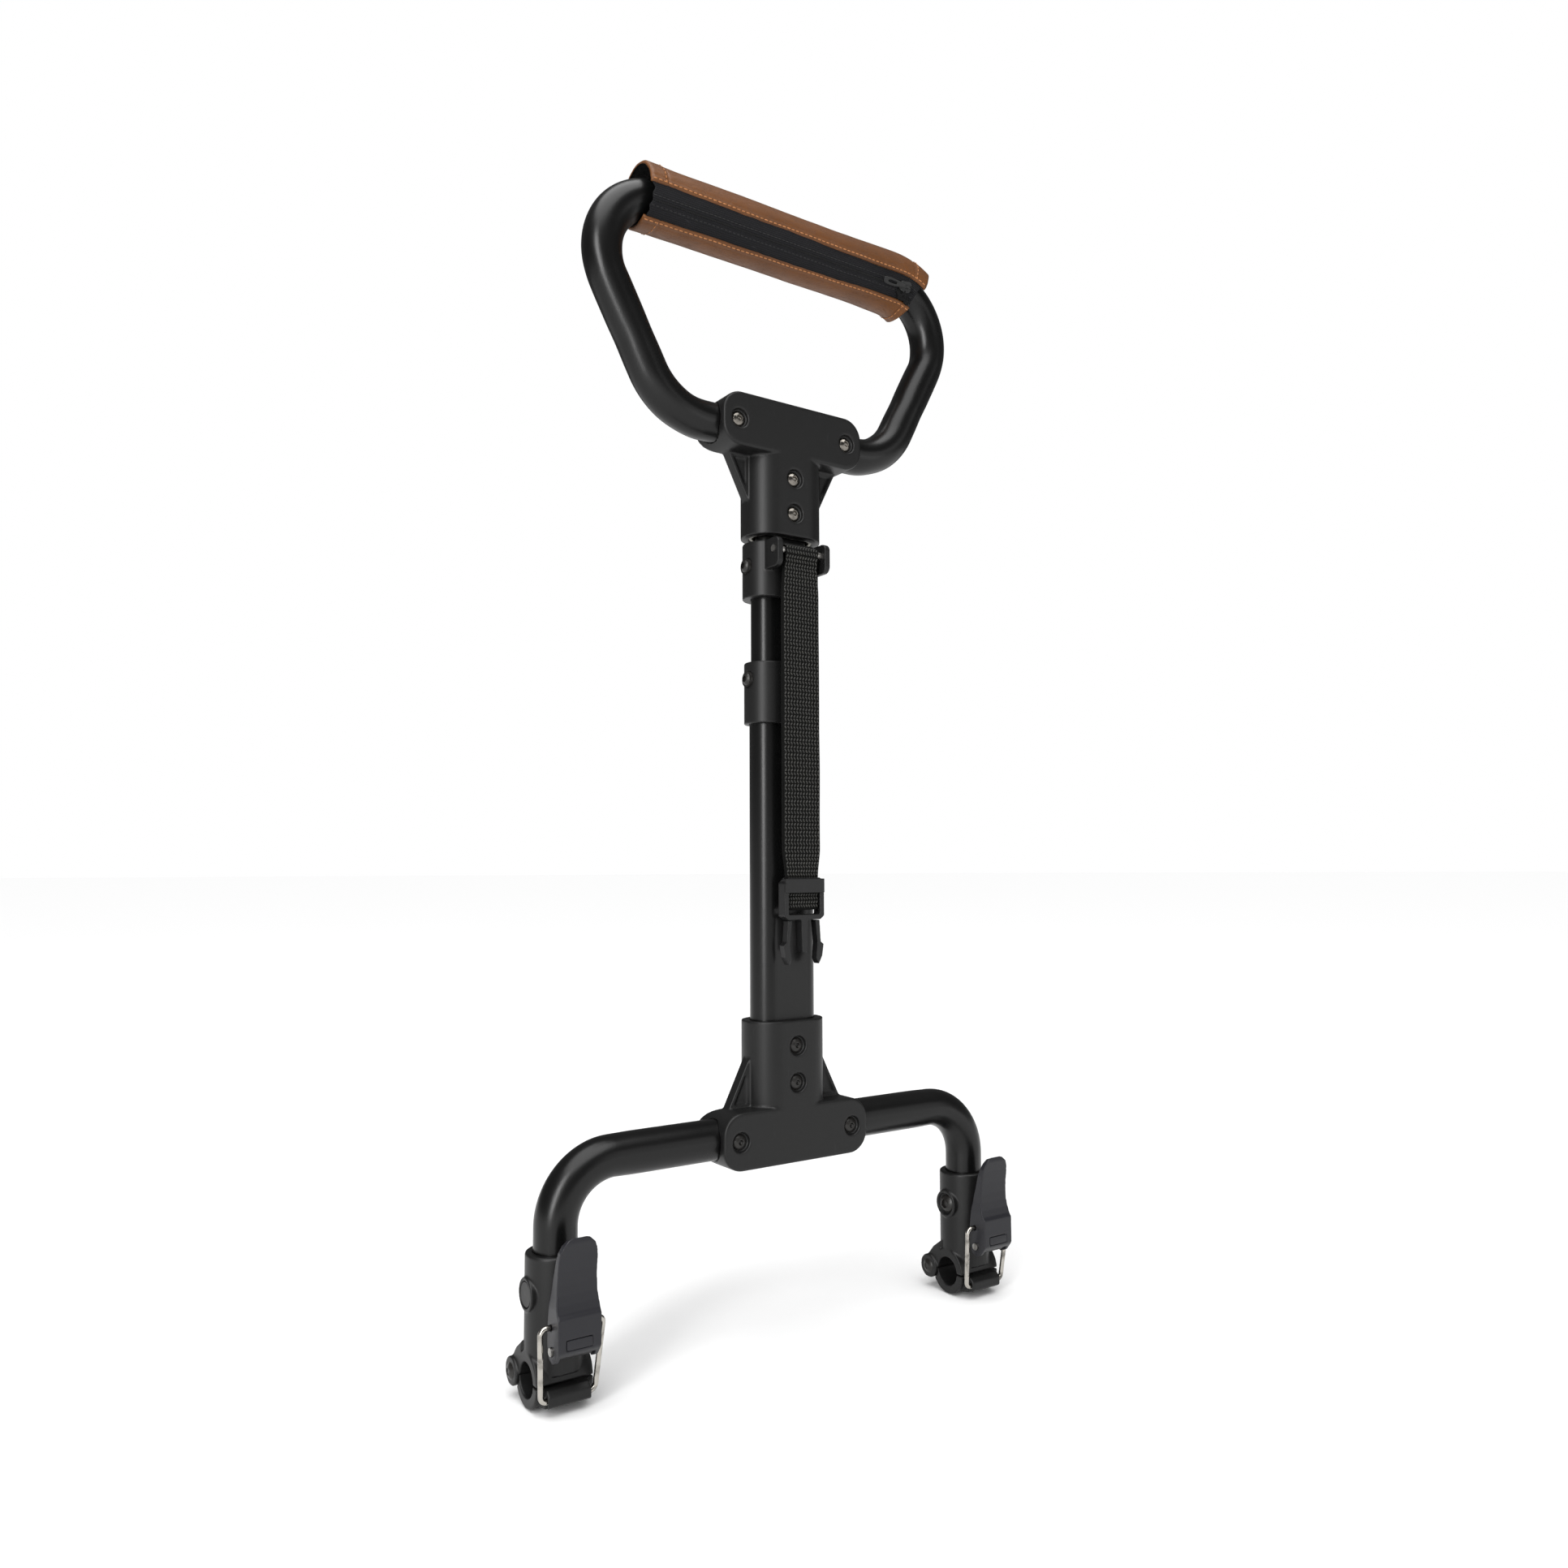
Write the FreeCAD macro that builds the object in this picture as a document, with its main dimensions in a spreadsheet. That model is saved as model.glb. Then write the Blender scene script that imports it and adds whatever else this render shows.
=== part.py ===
"""Clamp-on telescopic handle: a round tube frame on two lever clamps, a flat-oval telescopic post
between two T brackets, and a handle loop with a zipped grip cover.

Frame: millimetres, +Z up, +X along the clamp bores, -Y towards the levers. The origin is on the axis
of the clamp bores, midway between the two clamps.
"""

import FreeCAD, Part
import math
import os

import Sketcher

V = FreeCAD.Vector
doc = FreeCAD.newDocument("telescopic_handle")

# --------------------------------------------------------------------------- driving dimensions
SIZES = {
    # round tubes
    "tube_radius": 11.1,
    "tube_wall": 1.5,
    "tube_play": 0.05,
    # lower frame
    "leg_spacing_half": 138.3,
    "crossbar_height": 102,
    "frame_bend": 31,
    "leg_bottom": 24,
    # handle loop
    "handle_low": 503.2,
    "handle_high": 622,
    "handle_low_half": 77,
    "handle_low_bend": 40,
    "handle_lean": 28,
    "handle_top_bend": 35.6,
    # brackets
    "bracket_half_length": 48.5,
    "bracket_half_height": 15.6,
    "bracket_half_depth": 16,
    "bracket_end_round": 12,
    "bracket_edge_round": 1.5,
    "socket_reach": 62.5,
    "socket_half_width": 24.7,
    "socket_half_depth": 16,
    "socket_floor": 14,
    "gusset_foot": 38,
    "gusset_top": 42,
    "gusset_half_thick": 3.5,
    "bar_screw_offset": 37.7,
    "post_screw_low": 28.2,
    "post_screw_high": 48.6,
    "screw_recess": 5.4,
    "screw_recess_deep": 2.6,
    "screw_head": 4.9,
    "screw_head_tall": 2.6,
    "screw_shank": 2.4,
    "screw_play": 0.1,
    # telescopic post, half sizes of the flat-oval sections
    "post_half_width": 20,
    "post_half_depth": 10,
    "post_wall": 0.9,
    "middle_half_width": 19.04,
    "middle_half_depth": 9.04,
    "middle_bottom": 155,
    "inner_half_width": 16.5,
    "inner_half_depth": 6.5,
    "inner_bottom": 165,
    "bush_tall": 22,
    "slide_play": 0.06,
    # collars
    "collar_wall": 3,
    "lower_collar_low": 332.3,
    "lower_collar_high": 367.8,
    "upper_collar_wall": 4.86,
    "upper_collar_low": 405,
    "upper_collar_high": 437.3,
    "collar_lip": 2.4,
    "lower_screw_drop": 10,
    "upper_screw_drop": 14,
    "lug_x": 16.4,
    "lug_thick": 3.6,
    "lug_front": 24.5,
    "lug_low": 420,
    "lug_high": 437.1,
    # strap and its buckle
    "strap_bar_radius": 2,
    "strap_y": 19.6,
    "strap_bar_height": 430.5,
    "strap_half_width": 12.4,
    "strap_thick": 1.3,
    "strap_low": 226,
    "buckle_half_width": 13.6,
    "buckle_half_thick": 3.2,
    "buckle_high": 244.5,
    "buckle_mid": 221,
    "buckle_low": 196,
    # grip
    "foam_radius": 15.6,
    "foam_half": 80,
    "cover_inner": 17,
    "cover_outer": 18.2,
    "cover_left": 96,
    "cover_right": 97,
    "zip_middle_angle": 208,
    "zip_half_angle": 28,
    "zip_thick": 0.9,
    "zip_slider_x": 84,
    # clamps
    "bore_radius": 8.3,
    "ring_radius": 13.3,
    "ring_half_length": 15,
    "socket_radius": 15,
    "socket_top": 60,
    "split_gap": 0.4,
    "cross_bolt_height": 41,
    "boss_radius": 8.2,
    "boss_face": 16,
    "boss_recess": 6.4,
    "hinge_y": 16,
    "hinge_z": -0.5,
    "hinge_radius": 7,
    "hinge_pin": 2.5,
    "knuckle_half": 6,
    "pivot_y": 22,
    "pivot_z": 19.6,
    "pivot_pin": 2,
    "nose_radius": 4.6,
    "nose_half": 8.8,
    "cheek_inner": 9.2,
    "cheek_outer": 11.3,
    "lever_front": 30,
    "lever_tip": 73,
    "bail_y": 20.8,
    "bail_z": 30.5,
    "bail_wire": 1.4,
    "bail_half_high": 16.6,
    "bail_half_low": 14.2,
    "bar_y": 16.5,
    "bar_z": -5.5,
    "hook_half": 11.4,
    "hook_front": 19.2,
}

sheet = doc.addObject("Spreadsheet::Sheet", "sizes")
for row, (alias, value) in enumerate(SIZES.items(), start=1):
    sheet.set(f"A{row}", alias.replace("_", " "))
    sheet.set(f"B{row}", str(value))
    sheet.setAlias(f"B{row}", alias)
doc.recompute()


def size(alias):
    """The number in one cell of the sheet."""
    return float(sheet.get(alias))


def value(expression):
    """The number that an expression over the sheet gives."""
    return float(sheet.evalExpression(expression.replace("sizes.", "")))


def cells(text):
    """An expression with every alias prefixed, so that it can bind a property."""
    words = []
    word = ""
    for letter in text + " ":
        if letter.isalnum() or letter == "_":
            word += letter
            continue
        words.append(f"sizes.{word}" if word in SIZES else word)
        words.append(letter)
        word = ""
    return "".join(words).strip()


# --------------------------------------------------------------------------- modelling helpers
def new_body(label, x="0", y="0", z="0"):
    """An empty body whose label names its file, placed where the three expressions say."""
    body = doc.addObject("PartDesign::Body", label)
    body.Label = label
    for axis, expression in zip("xyz", (x, y, z)):
        body.setExpression(f"Placement.Base.{axis}", cells(expression))
    return body


def new_sketch(body, role, offset=None):
    """A sketch on one of the body's origin planes, moved along the plane's normal by an expression."""
    plane = next(item for item in body.Origin.OriginFeatures if item.Role == role)
    sketch = body.newObject("Sketcher::SketchObject", f"{body.Name}_sketch")
    sketch.AttachmentSupport = [(plane, "")]
    sketch.MapMode = "FlatFace"
    if offset:
        sketch.setExpression("AttachmentOffset.Base.z", cells(offset))
    return sketch


def bound(sketch, kind, *items):
    """Adds one dimension whose value is an expression over the sheet."""
    *where, expression = items
    index = sketch.addConstraint(Sketcher.Constraint(kind, *where, value(expression)))
    sketch.setExpression(f"Constraints[{index}]", cells(expression))


def polygon(sketch, points):
    """A closed outline through points given as pairs of expressions."""
    first = sketch.GeometryCount
    corners = [V(value(a), value(b), 0) for a, b in points]
    count = len(corners)
    for i in range(count):
        sketch.addGeometry(Part.LineSegment(corners[i], corners[(i + 1) % count]), False)
    for i in range(count):
        sketch.addConstraint(
            Sketcher.Constraint("Coincident", first + i, 2, first + (i + 1) % count, 1)
        )
    for i, (a, b) in enumerate(points):
        bound(sketch, "DistanceX", -1, 1, first + i, 1, a)
        bound(sketch, "DistanceY", -1, 1, first + i, 1, b)


def rectangle(sketch, x0, x1, y0, y1):
    """An upright rectangle between four expressions."""
    polygon(sketch, [(x0, y0), (x1, y0), (x1, y1), (x0, y1)])


def circle(sketch, x, y, radius):
    """A circle whose centre and radius are expressions."""
    centre = V(value(x), value(y), 0)
    index = sketch.addGeometry(Part.Circle(centre, V(0, 0, 1), value(radius)), False)
    bound(sketch, "Radius", index, radius)
    bound(sketch, "DistanceX", -1, 1, index, 3, x)
    bound(sketch, "DistanceY", -1, 1, index, 3, y)


def flat_oval(sketch, half_width, half_depth):
    """Two half circles joined by straight sides, long side along the sketch's x axis."""
    radius = value(half_depth)
    reach = value(half_width) - radius
    first = sketch.GeometryCount
    sketch.addGeometry(Part.LineSegment(V(-reach, -radius, 0), V(reach, -radius, 0)), False)
    right = Part.Circle(V(reach, 0, 0), V(0, 0, 1), radius)
    sketch.addGeometry(Part.ArcOfCircle(right, -math.pi / 2, math.pi / 2), False)
    sketch.addGeometry(Part.LineSegment(V(reach, radius, 0), V(-reach, radius, 0)), False)
    left = Part.Circle(V(-reach, 0, 0), V(0, 0, 1), radius)
    sketch.addGeometry(Part.ArcOfCircle(left, math.pi / 2, 3 * math.pi / 2), False)
    for line, arc, line_end, arc_end in ((0, 1, 2, 1), (2, 1, 1, 2), (2, 3, 2, 1), (0, 3, 1, 2)):
        sketch.addConstraint(
            Sketcher.Constraint("Tangent", first + line, line_end, first + arc, arc_end)
        )
    bound(sketch, "Radius", first + 1, half_depth)
    for arc, side in ((1, ""), (3, "-")):
        reach_out = f"{side}(({half_width}) - ({half_depth}))"
        bound(sketch, "DistanceX", -1, 1, first + arc, 3, reach_out)
    sketch.addConstraint(Sketcher.Constraint("PointOnObject", first + 1, 3, -1))
    sketch.addConstraint(Sketcher.Constraint("PointOnObject", first + 3, 3, -1))


def d_outline(sketch, front, radius):
    """A half circle behind with straight sides to a flat face at a distance in front of it."""
    reach = value(front)
    round_back = value(radius)
    first = sketch.GeometryCount
    sketch.addGeometry(Part.LineSegment(V(-reach, -round_back, 0), V(0, -round_back, 0)), False)
    circle_back = Part.Circle(V(0, 0, 0), V(0, 0, 1), round_back)
    sketch.addGeometry(Part.ArcOfCircle(circle_back, -math.pi / 2, math.pi / 2), False)
    sketch.addGeometry(Part.LineSegment(V(0, round_back, 0), V(-reach, round_back, 0)), False)
    sketch.addGeometry(Part.LineSegment(V(-reach, round_back, 0), V(-reach, -round_back, 0)), False)
    sketch.addConstraint(Sketcher.Constraint("Tangent", first, 2, first + 1, 1))
    sketch.addConstraint(Sketcher.Constraint("Tangent", first + 2, 1, first + 1, 2))
    sketch.addConstraint(Sketcher.Constraint("Coincident", first + 2, 2, first + 3, 1))
    sketch.addConstraint(Sketcher.Constraint("Coincident", first + 3, 2, first, 1))
    sketch.addConstraint(Sketcher.Constraint("Vertical", first + 3))
    sketch.addConstraint(Sketcher.Constraint("Coincident", first + 1, 3, -1, 1))
    bound(sketch, "Radius", first + 1, radius)
    bound(sketch, "DistanceX", -1, 1, first, 1, f"-({front})")


def extrude(body, kind, sketch, length, both=False, back=False):
    """A Pad or Pocket of one sketch; both sides of its plane, or backwards, where asked."""
    before = body.Shape.Volume if kind == "Pocket" else 0
    feature = body.newObject(f"PartDesign::{kind}", f"{body.Name}_{kind}")
    feature.Profile = sketch
    if both:
        feature.SideType = "Symmetric"
    feature.Reversed = back
    feature.setExpression("Length", cells(length))
    doc.recompute()
    if kind == "Pocket" and not body.Shape.Volume < before - 1e-6:
        raise RuntimeError(f"a pocket of {body.Label} cuts nothing")
    return feature


def fillet(body, radius, chosen):
    """Rounds the edges of the body that a test picks."""
    base = body.Tip
    edges = [f"Edge{n}" for n, edge in enumerate(base.Shape.Edges, start=1) if chosen(edge)]
    if not edges:
        raise RuntimeError(f"no edge of {body.Label} to round")
    feature = body.newObject("PartDesign::Fillet", f"{body.Name}_round")
    feature.Base = (base, edges)
    feature.setExpression("Radius", cells(radius))
    doc.recompute()
    if feature.Shape.isNull() or "Invalid" in feature.State:
        raise RuntimeError(f"a fillet of {body.Label} failed")
    return feature


def along(edge, direction, shortest=0.5):
    """True for a straight edge in the given direction."""
    if edge.Curve.TypeId != "Part::GeomLine" or edge.Length < shortest:
        return False
    return abs(edge.Curve.Direction.dot(direction)) > 0.999


def made(label, shape, x=0, y=0, z=0):
    """A sub-part whose shape comes straight from Part's own functions."""
    feature = doc.addObject("Part::Feature", label)
    feature.Label = label
    feature.Shape = shape.removeSplitter()
    feature.Placement = FreeCAD.Placement(V(x, y, z), FreeCAD.Rotation())
    return feature


def rod(radius, low, high, axis, at=V(0, 0, 0)):
    """A cylinder along an axis, from one distance to another."""
    return Part.makeCylinder(radius, high - low, at + axis * low, axis)


def dome_head(radius, tall, axis, at):
    """A low rounded screw head with a hexagon socket, its seat at a point, rising along the axis."""
    ball = (radius**2 + tall**2) / (2 * tall)
    cap = Part.makeSphere(ball, at + axis * (tall - ball), axis)
    head = cap.common(rod(radius, 0, tall, axis, at))
    turn = FreeCAD.Rotation(V(0, 0, 1), axis)
    corners = []
    for i in range(7):
        angle = math.radians(60 * i)
        corners.append(V(math.cos(angle), math.sin(angle), 0) * radius * 0.5)
    corners = [at + axis * (tall * 0.35) + turn.multVec(c) for c in corners]
    key = Part.Face(Part.makePolygon(corners)).extrude(axis * tall)
    return head.cut(key)


X_AXIS = V(1, 0, 0)
Y_AXIS = V(0, 1, 0)
Z_AXIS = V(0, 0, 1)
FRONT = V(0, -1, 0)

TUBE = size("tube_radius")
LEG_X = size("leg_spacing_half")
CROSSBAR_Z = size("crossbar_height")
HANDLE_Z = size("handle_low")
SCREW_X = size("bar_screw_offset")
SHANK = size("screw_shank")
PLAY = size("screw_play")


# --------------------------------------------------------------------------- round tubes
def bent_path(points, radii):
    """A wire through points in the XZ plane, with an arc of the given radius at each inner point."""
    edges = []
    start = points[0]
    for i in range(1, len(points) - 1):
        corner = points[i]
        back = (points[i - 1] - corner).normalize()
        ahead = (points[i + 1] - corner).normalize()
        half = math.acos(max(-1, min(1, back.dot(ahead)))) / 2
        tangent = radii[i - 1] / math.tan(half)
        middle = (back + ahead).normalize() * (radii[i - 1] / math.sin(half) - radii[i - 1])
        first = corner + back * tangent
        last = corner + ahead * tangent
        edges.append(Part.LineSegment(start, first).toShape())
        edges.append(Part.Arc(first, corner + middle, last).toShape())
        start = last
    edges.append(Part.LineSegment(start, points[-1]).toShape())
    return Part.Wire(edges)


def hollow_sweep(path, start, direction):
    """A round tube along a path: the outer sweep less the inner one."""
    solids = []
    for radius in (TUBE, TUBE - size("tube_wall")):
        ring = Part.Wire(Part.makeCircle(radius, start, direction))
        solids.append(path.makePipeShell([ring], True, False))
    return solids[0].cut(solids[1])


def screw_holes(height):
    """Cross holes through a tube for the two bracket screws."""
    holes = [rod(SHANK + PLAY, -20, 20, Y_AXIS, V(x, 0, height)) for x in (-SCREW_X, SCREW_X)]
    return holes[0].fuse(holes[1])


def lower_frame_tube():
    """The inverted U: two legs and the crossbar, drilled for the bracket and clamp screws."""
    low = size("leg_bottom")
    points = [V(-LEG_X, 0, low), V(-LEG_X, 0, CROSSBAR_Z), V(LEG_X, 0, CROSSBAR_Z), V(LEG_X, 0, low)]
    bend = size("frame_bend")
    tube = hollow_sweep(bent_path(points, [bend, bend]), points[0], Z_AXIS)
    tube = tube.cut(screw_holes(CROSSBAR_Z))
    bolt = size("cross_bolt_height")
    for side in (-1, 1):
        tube = tube.cut(rod(SHANK + PLAY, -13, 13, X_AXIS, V(side * LEG_X, 0, bolt)))
    made("lower_frame_tube", tube)


def handle_loop_tube():
    """The closed handle loop: straight foot, outward-leaning sides, straight top."""
    high = size("handle_high")
    lean = math.radians(size("handle_lean"))
    foot = V(size("handle_low_half"), 0, HANDLE_Z)
    side = V(math.sin(lean), 0, math.cos(lean))
    shoulder = foot + side * ((high - HANDLE_Z) / side.z)
    points = [V(0, 0, HANDLE_Z), foot, shoulder, V(0, 0, high)]
    radii = [size("handle_low_bend"), size("handle_top_bend")]
    half = hollow_sweep(bent_path(points, radii), points[0], X_AXIS)
    loop = half.fuse(half.mirror(V(0, 0, 0), X_AXIS))
    made("handle_loop_tube", loop.cut(screw_holes(HANDLE_Z)))


# --------------------------------------------------------------------------- T brackets
def bracket(label, height, up):
    """A moulded T: a sleeve on the round tube and a flat-oval socket for the post."""
    body = new_body(label, z=height)
    sign = "" if up else "-"
    sketch = new_sketch(body, "XZ_Plane")
    half, tall = "bracket_half_length", "bracket_half_height"
    rectangle(sketch, f"-{half}", half, f"-{tall}", tall)
    extrude(body, "Pad", sketch, "bracket_half_depth * 2", both=True)
    fillet(body, "bracket_end_round", lambda edge: along(edge, Y_AXIS))
    sketch = new_sketch(body, "YZ_Plane")
    rectangle(sketch, "-30", "30", "-30", "30")
    d_outline(sketch, "bracket_half_depth", "bracket_half_height")
    extrude(body, "Pocket", sketch, "bracket_half_length * 2 + 2", both=True)
    front = -size("bracket_half_depth")
    fillet(body, "bracket_edge_round", lambda edge: abs(edge.BoundBox.YMax - front) < 0.01)

    sketch = new_sketch(body, "XY_Plane")
    flat_oval(sketch, "socket_half_width", "socket_half_depth")
    extrude(body, "Pad", sketch, "socket_reach", back=not up)

    sketch = new_sketch(body, "XZ_Plane")
    polygon(
        sketch,
        [
            ("-gusset_foot", f"{sign}10"),
            ("gusset_foot", f"{sign}10"),
            ("gusset_foot", f"{sign}15.6"),
            ("socket_half_width", f"{sign}gusset_top"),
            ("-socket_half_width", f"{sign}gusset_top"),
            ("-gusset_foot", f"{sign}15.6"),
        ],
    )
    extrude(body, "Pad", sketch, "gusset_half_thick * 2", both=True)

    for side in ("", "-"):
        for face in ("gusset_half_thick - 1.1", "-(gusset_half_thick - 1.1)"):
            sketch = new_sketch(body, "XZ_Plane", face)
            polygon(
                sketch,
                [
                    (f"{side}(gusset_foot - 3.6)", f"{sign}17.4"),
                    (f"{side}(socket_half_width + 1.4)", f"{sign}(gusset_top - 7)"),
                    (f"{side}(socket_half_width + 1.4)", f"{sign}17.4"),
                ],
            )
            extrude(body, "Pocket", sketch, "3", back=not face.startswith("-"))

    sketch = new_sketch(body, "YZ_Plane")
    circle(sketch, "0", "0", "tube_radius + tube_play")
    extrude(body, "Pocket", sketch, "bracket_half_length * 2 + 2", both=True)
    sketch = new_sketch(body, "XY_Plane", f"{sign}socket_floor")
    flat_oval(sketch, "post_half_width + tube_play", "post_half_depth + tube_play")
    extrude(body, "Pocket", sketch, "socket_reach", back=up)

    sketch = new_sketch(body, "XZ_Plane")
    for side in ("", "-"):
        circle(sketch, f"{side}bar_screw_offset", "0", "screw_shank + screw_play")
    extrude(body, "Pocket", sketch, "40", both=True)
    sketch = new_sketch(body, "XZ_Plane")
    for drop in ("post_screw_low", "post_screw_high"):
        circle(sketch, "0", f"{sign}{drop}", "screw_shank + screw_play")
    extrude(body, "Pocket", sketch, "20", back=True)

    sketch = new_sketch(body, "XZ_Plane", "bracket_half_depth - screw_recess_deep")
    for side in ("", "-"):
        circle(sketch, f"{side}bar_screw_offset", "0", "screw_recess")
    extrude(body, "Pocket", sketch, "5", back=True)
    sketch = new_sketch(body, "XZ_Plane", "socket_half_depth - screw_recess_deep")
    for drop in ("post_screw_low", "post_screw_high"):
        circle(sketch, "0", f"{sign}{drop}", "screw_recess")
    extrude(body, "Pocket", sketch, "5", back=True)
    sketch = new_sketch(body, "XZ_Plane", "-(bracket_half_depth - 2.4)")
    for side in ("", "-"):
        circle(sketch, f"{side}bar_screw_offset", "0", "screw_recess")
    extrude(body, "Pocket", sketch, "5")


def bracket_fasteners(prefix, height, up):
    """Two through-bolts with nuts across the tube, and two short screws into the post."""
    seat = size("bracket_half_depth") - size("screw_recess_deep")
    head = size("screw_head")
    tall = size("screw_head_tall")
    back_seat = size("bracket_half_depth") - 2.4
    bolts = []
    nuts = []
    for x in (-SCREW_X, SCREW_X):
        at = V(x, 0, height)
        shank = rod(SHANK, -seat, back_seat + 1.6, Y_AXIS, at)
        bolts.append(dome_head(head, tall, FRONT, at + FRONT * seat).fuse(shank))
        nut = Part.Face(Part.makePolygon(hexagon(4.3, at + Y_AXIS * (back_seat + 0.02))))
        nut = nut.extrude(Y_AXIS * 2.2).cut(rod(SHANK + 0.02, 0, 30, Y_AXIS, at))
        nuts.append(nut)
    made(f"{prefix}_bar_bolts", Part.makeCompound(bolts))
    made(f"{prefix}_bar_nuts", Part.makeCompound(nuts))

    seat = size("socket_half_depth") - size("screw_recess_deep")
    tip = size("post_half_depth") - size("post_wall") + 0.05
    sign = 1 if up else -1
    screws = []
    for drop in ("post_screw_low", "post_screw_high"):
        at = V(0, 0, height + sign * size(drop))
        shank = rod(SHANK, tip, seat, FRONT, at)
        screws.append(dome_head(head, tall, FRONT, at + FRONT * seat).fuse(shank))
    made(f"{prefix}_post_screws", Part.makeCompound(screws))


def hexagon(radius, centre):
    """The closed corner list of a hexagon in the XZ plane."""
    corners = []
    for i in range(7):
        angle = math.radians(60 * i)
        corners.append(centre + V(math.cos(angle), 0, math.sin(angle)) * radius)
    return corners


# --------------------------------------------------------------------------- telescopic post
def oval_tube(label, half_width, half_depth, wall, low, high, screws=()):
    """A straight flat-oval tube, drilled at the front where bracket screws enter it."""
    body = new_body(label)
    sketch = new_sketch(body, "XY_Plane", low)
    flat_oval(sketch, half_width, half_depth)
    flat_oval(sketch, f"{half_width} - {wall}", f"{half_depth} - {wall}")
    extrude(body, "Pad", sketch, f"{high} - ({low})")
    if screws:
        sketch = new_sketch(body, "XZ_Plane")
        for height in screws:
            circle(sketch, "0", height, "screw_shank + screw_play")
        extrude(body, "Pocket", sketch, "30", back=True)


def guide_bush(label, outer, inner, low, high):
    """A plastic sleeve between two post tubes; outer and inner are pairs of half sizes."""
    body = new_body(label)
    sketch = new_sketch(body, "XY_Plane", low)
    flat_oval(sketch, *outer)
    flat_oval(sketch, *inner)
    extrude(body, "Pad", sketch, f"{high} - ({low})")


def collar(label, low, high, wall, tube, passing):
    """A moulded collar over the top end of a tube, its lip closing on the tube that slides in it."""
    body = new_body(label)
    sketch = new_sketch(body, "XY_Plane", low)
    flat_oval(sketch, f"{tube[0]} + {wall}", f"{tube[1]} + {wall}")
    extrude(body, "Pad", sketch, f"{high} - {low}")
    ends = (value(low), value(high))
    fillet(body, "0.8", lambda edge: abs(edge.BoundBox.ZMin - ends[1]) < 0.01)
    sketch = new_sketch(body, "XY_Plane", low)
    flat_oval(sketch, f"{tube[0]} + tube_play", f"{tube[1]} + tube_play")
    extrude(body, "Pocket", sketch, f"{high} - {low} - collar_lip", back=True)
    sketch = new_sketch(body, "XY_Plane", low)
    flat_oval(sketch, f"{passing[0]} + slide_play", f"{passing[1]} + slide_play")
    extrude(body, "Pocket", sketch, f"{high} - {low} + 1", back=True)
    return body


def collar_screw(label, height, wall, tube_half_width):
    """The socket screw that pins a collar to its tube, on the narrow side."""
    face = value(f"{tube_half_width} + {wall}")
    seat = V(-face, 0, value(height))
    shank = rod(2, 0, size(wall) - 0.06, X_AXIS, seat)
    ring = rod(4.6, 0, 1.6, -X_AXIS, seat + X_AXIS * 0.7)
    head = dome_head(3.9, 2.6, -X_AXIS, seat - X_AXIS * 0.2)
    made(label, head.fuse([shank, ring]))


def drilled_collar(body, height, wall, tube_half_width):
    """Opens the hole for the collar's screw."""
    for radius, deep in (("2.1", f"{wall} + 1"), ("4.7", "1.8")):
        sketch = new_sketch(body, "YZ_Plane", f"-({tube_half_width} + {wall}) - 1")
        circle(sketch, "0", height, radius)
        extrude(body, "Pocket", sketch, deep, back=True)


def collar_lugs(body):
    """The two lugs on the front of the upper collar that carry the strap's bar."""
    for side in (-1, 1):
        sign = "-" if side < 0 else ""
        sketch = new_sketch(body, "YZ_Plane", f"{sign}lug_x")
        rectangle(sketch, "-lug_front", "-9.5", "lug_low", "lug_high")
        extrude(body, "Pad", sketch, "lug_thick", both=True)
    front = -size("lug_front")
    fillet(
        body,
        "4",
        lambda edge: along(edge, X_AXIS) and abs(edge.CenterOfMass.y - front) < 0.01,
    )
    sketch = new_sketch(body, "YZ_Plane")
    circle(sketch, "-strap_y", "strap_bar_height", "strap_bar_radius + 0.02")
    extrude(body, "Pocket", sketch, "lug_x * 2 + lug_thick + 4", both=True)


# --------------------------------------------------------------------------- strap and buckle
def strap():
    """Webbing folded over the bar: an eye at the top and two layers below it."""
    y = -size("strap_y")
    top = size("strap_bar_height")
    low = size("strap_low")
    half = size("strap_half_width")
    thick = size("strap_thick")
    eye = size("strap_bar_radius") + 0.3
    outer = rod(eye + thick, -half, half, X_AXIS, V(0, y, top))
    hang = Part.makeBox(2 * half, 2 * thick, top - low, V(-half, y - thick, low))
    hole = rod(eye, -half - 1, half + 1, X_AXIS, V(0, y, top))
    made("strap", outer.fuse(hang).cut(hole))
    bar = rod(size("strap_bar_radius"), -size("lug_x") - 2.2, size("lug_x") + 2.2, X_AXIS)
    made("strap_bar", bar, y=y, z=top)


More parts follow.
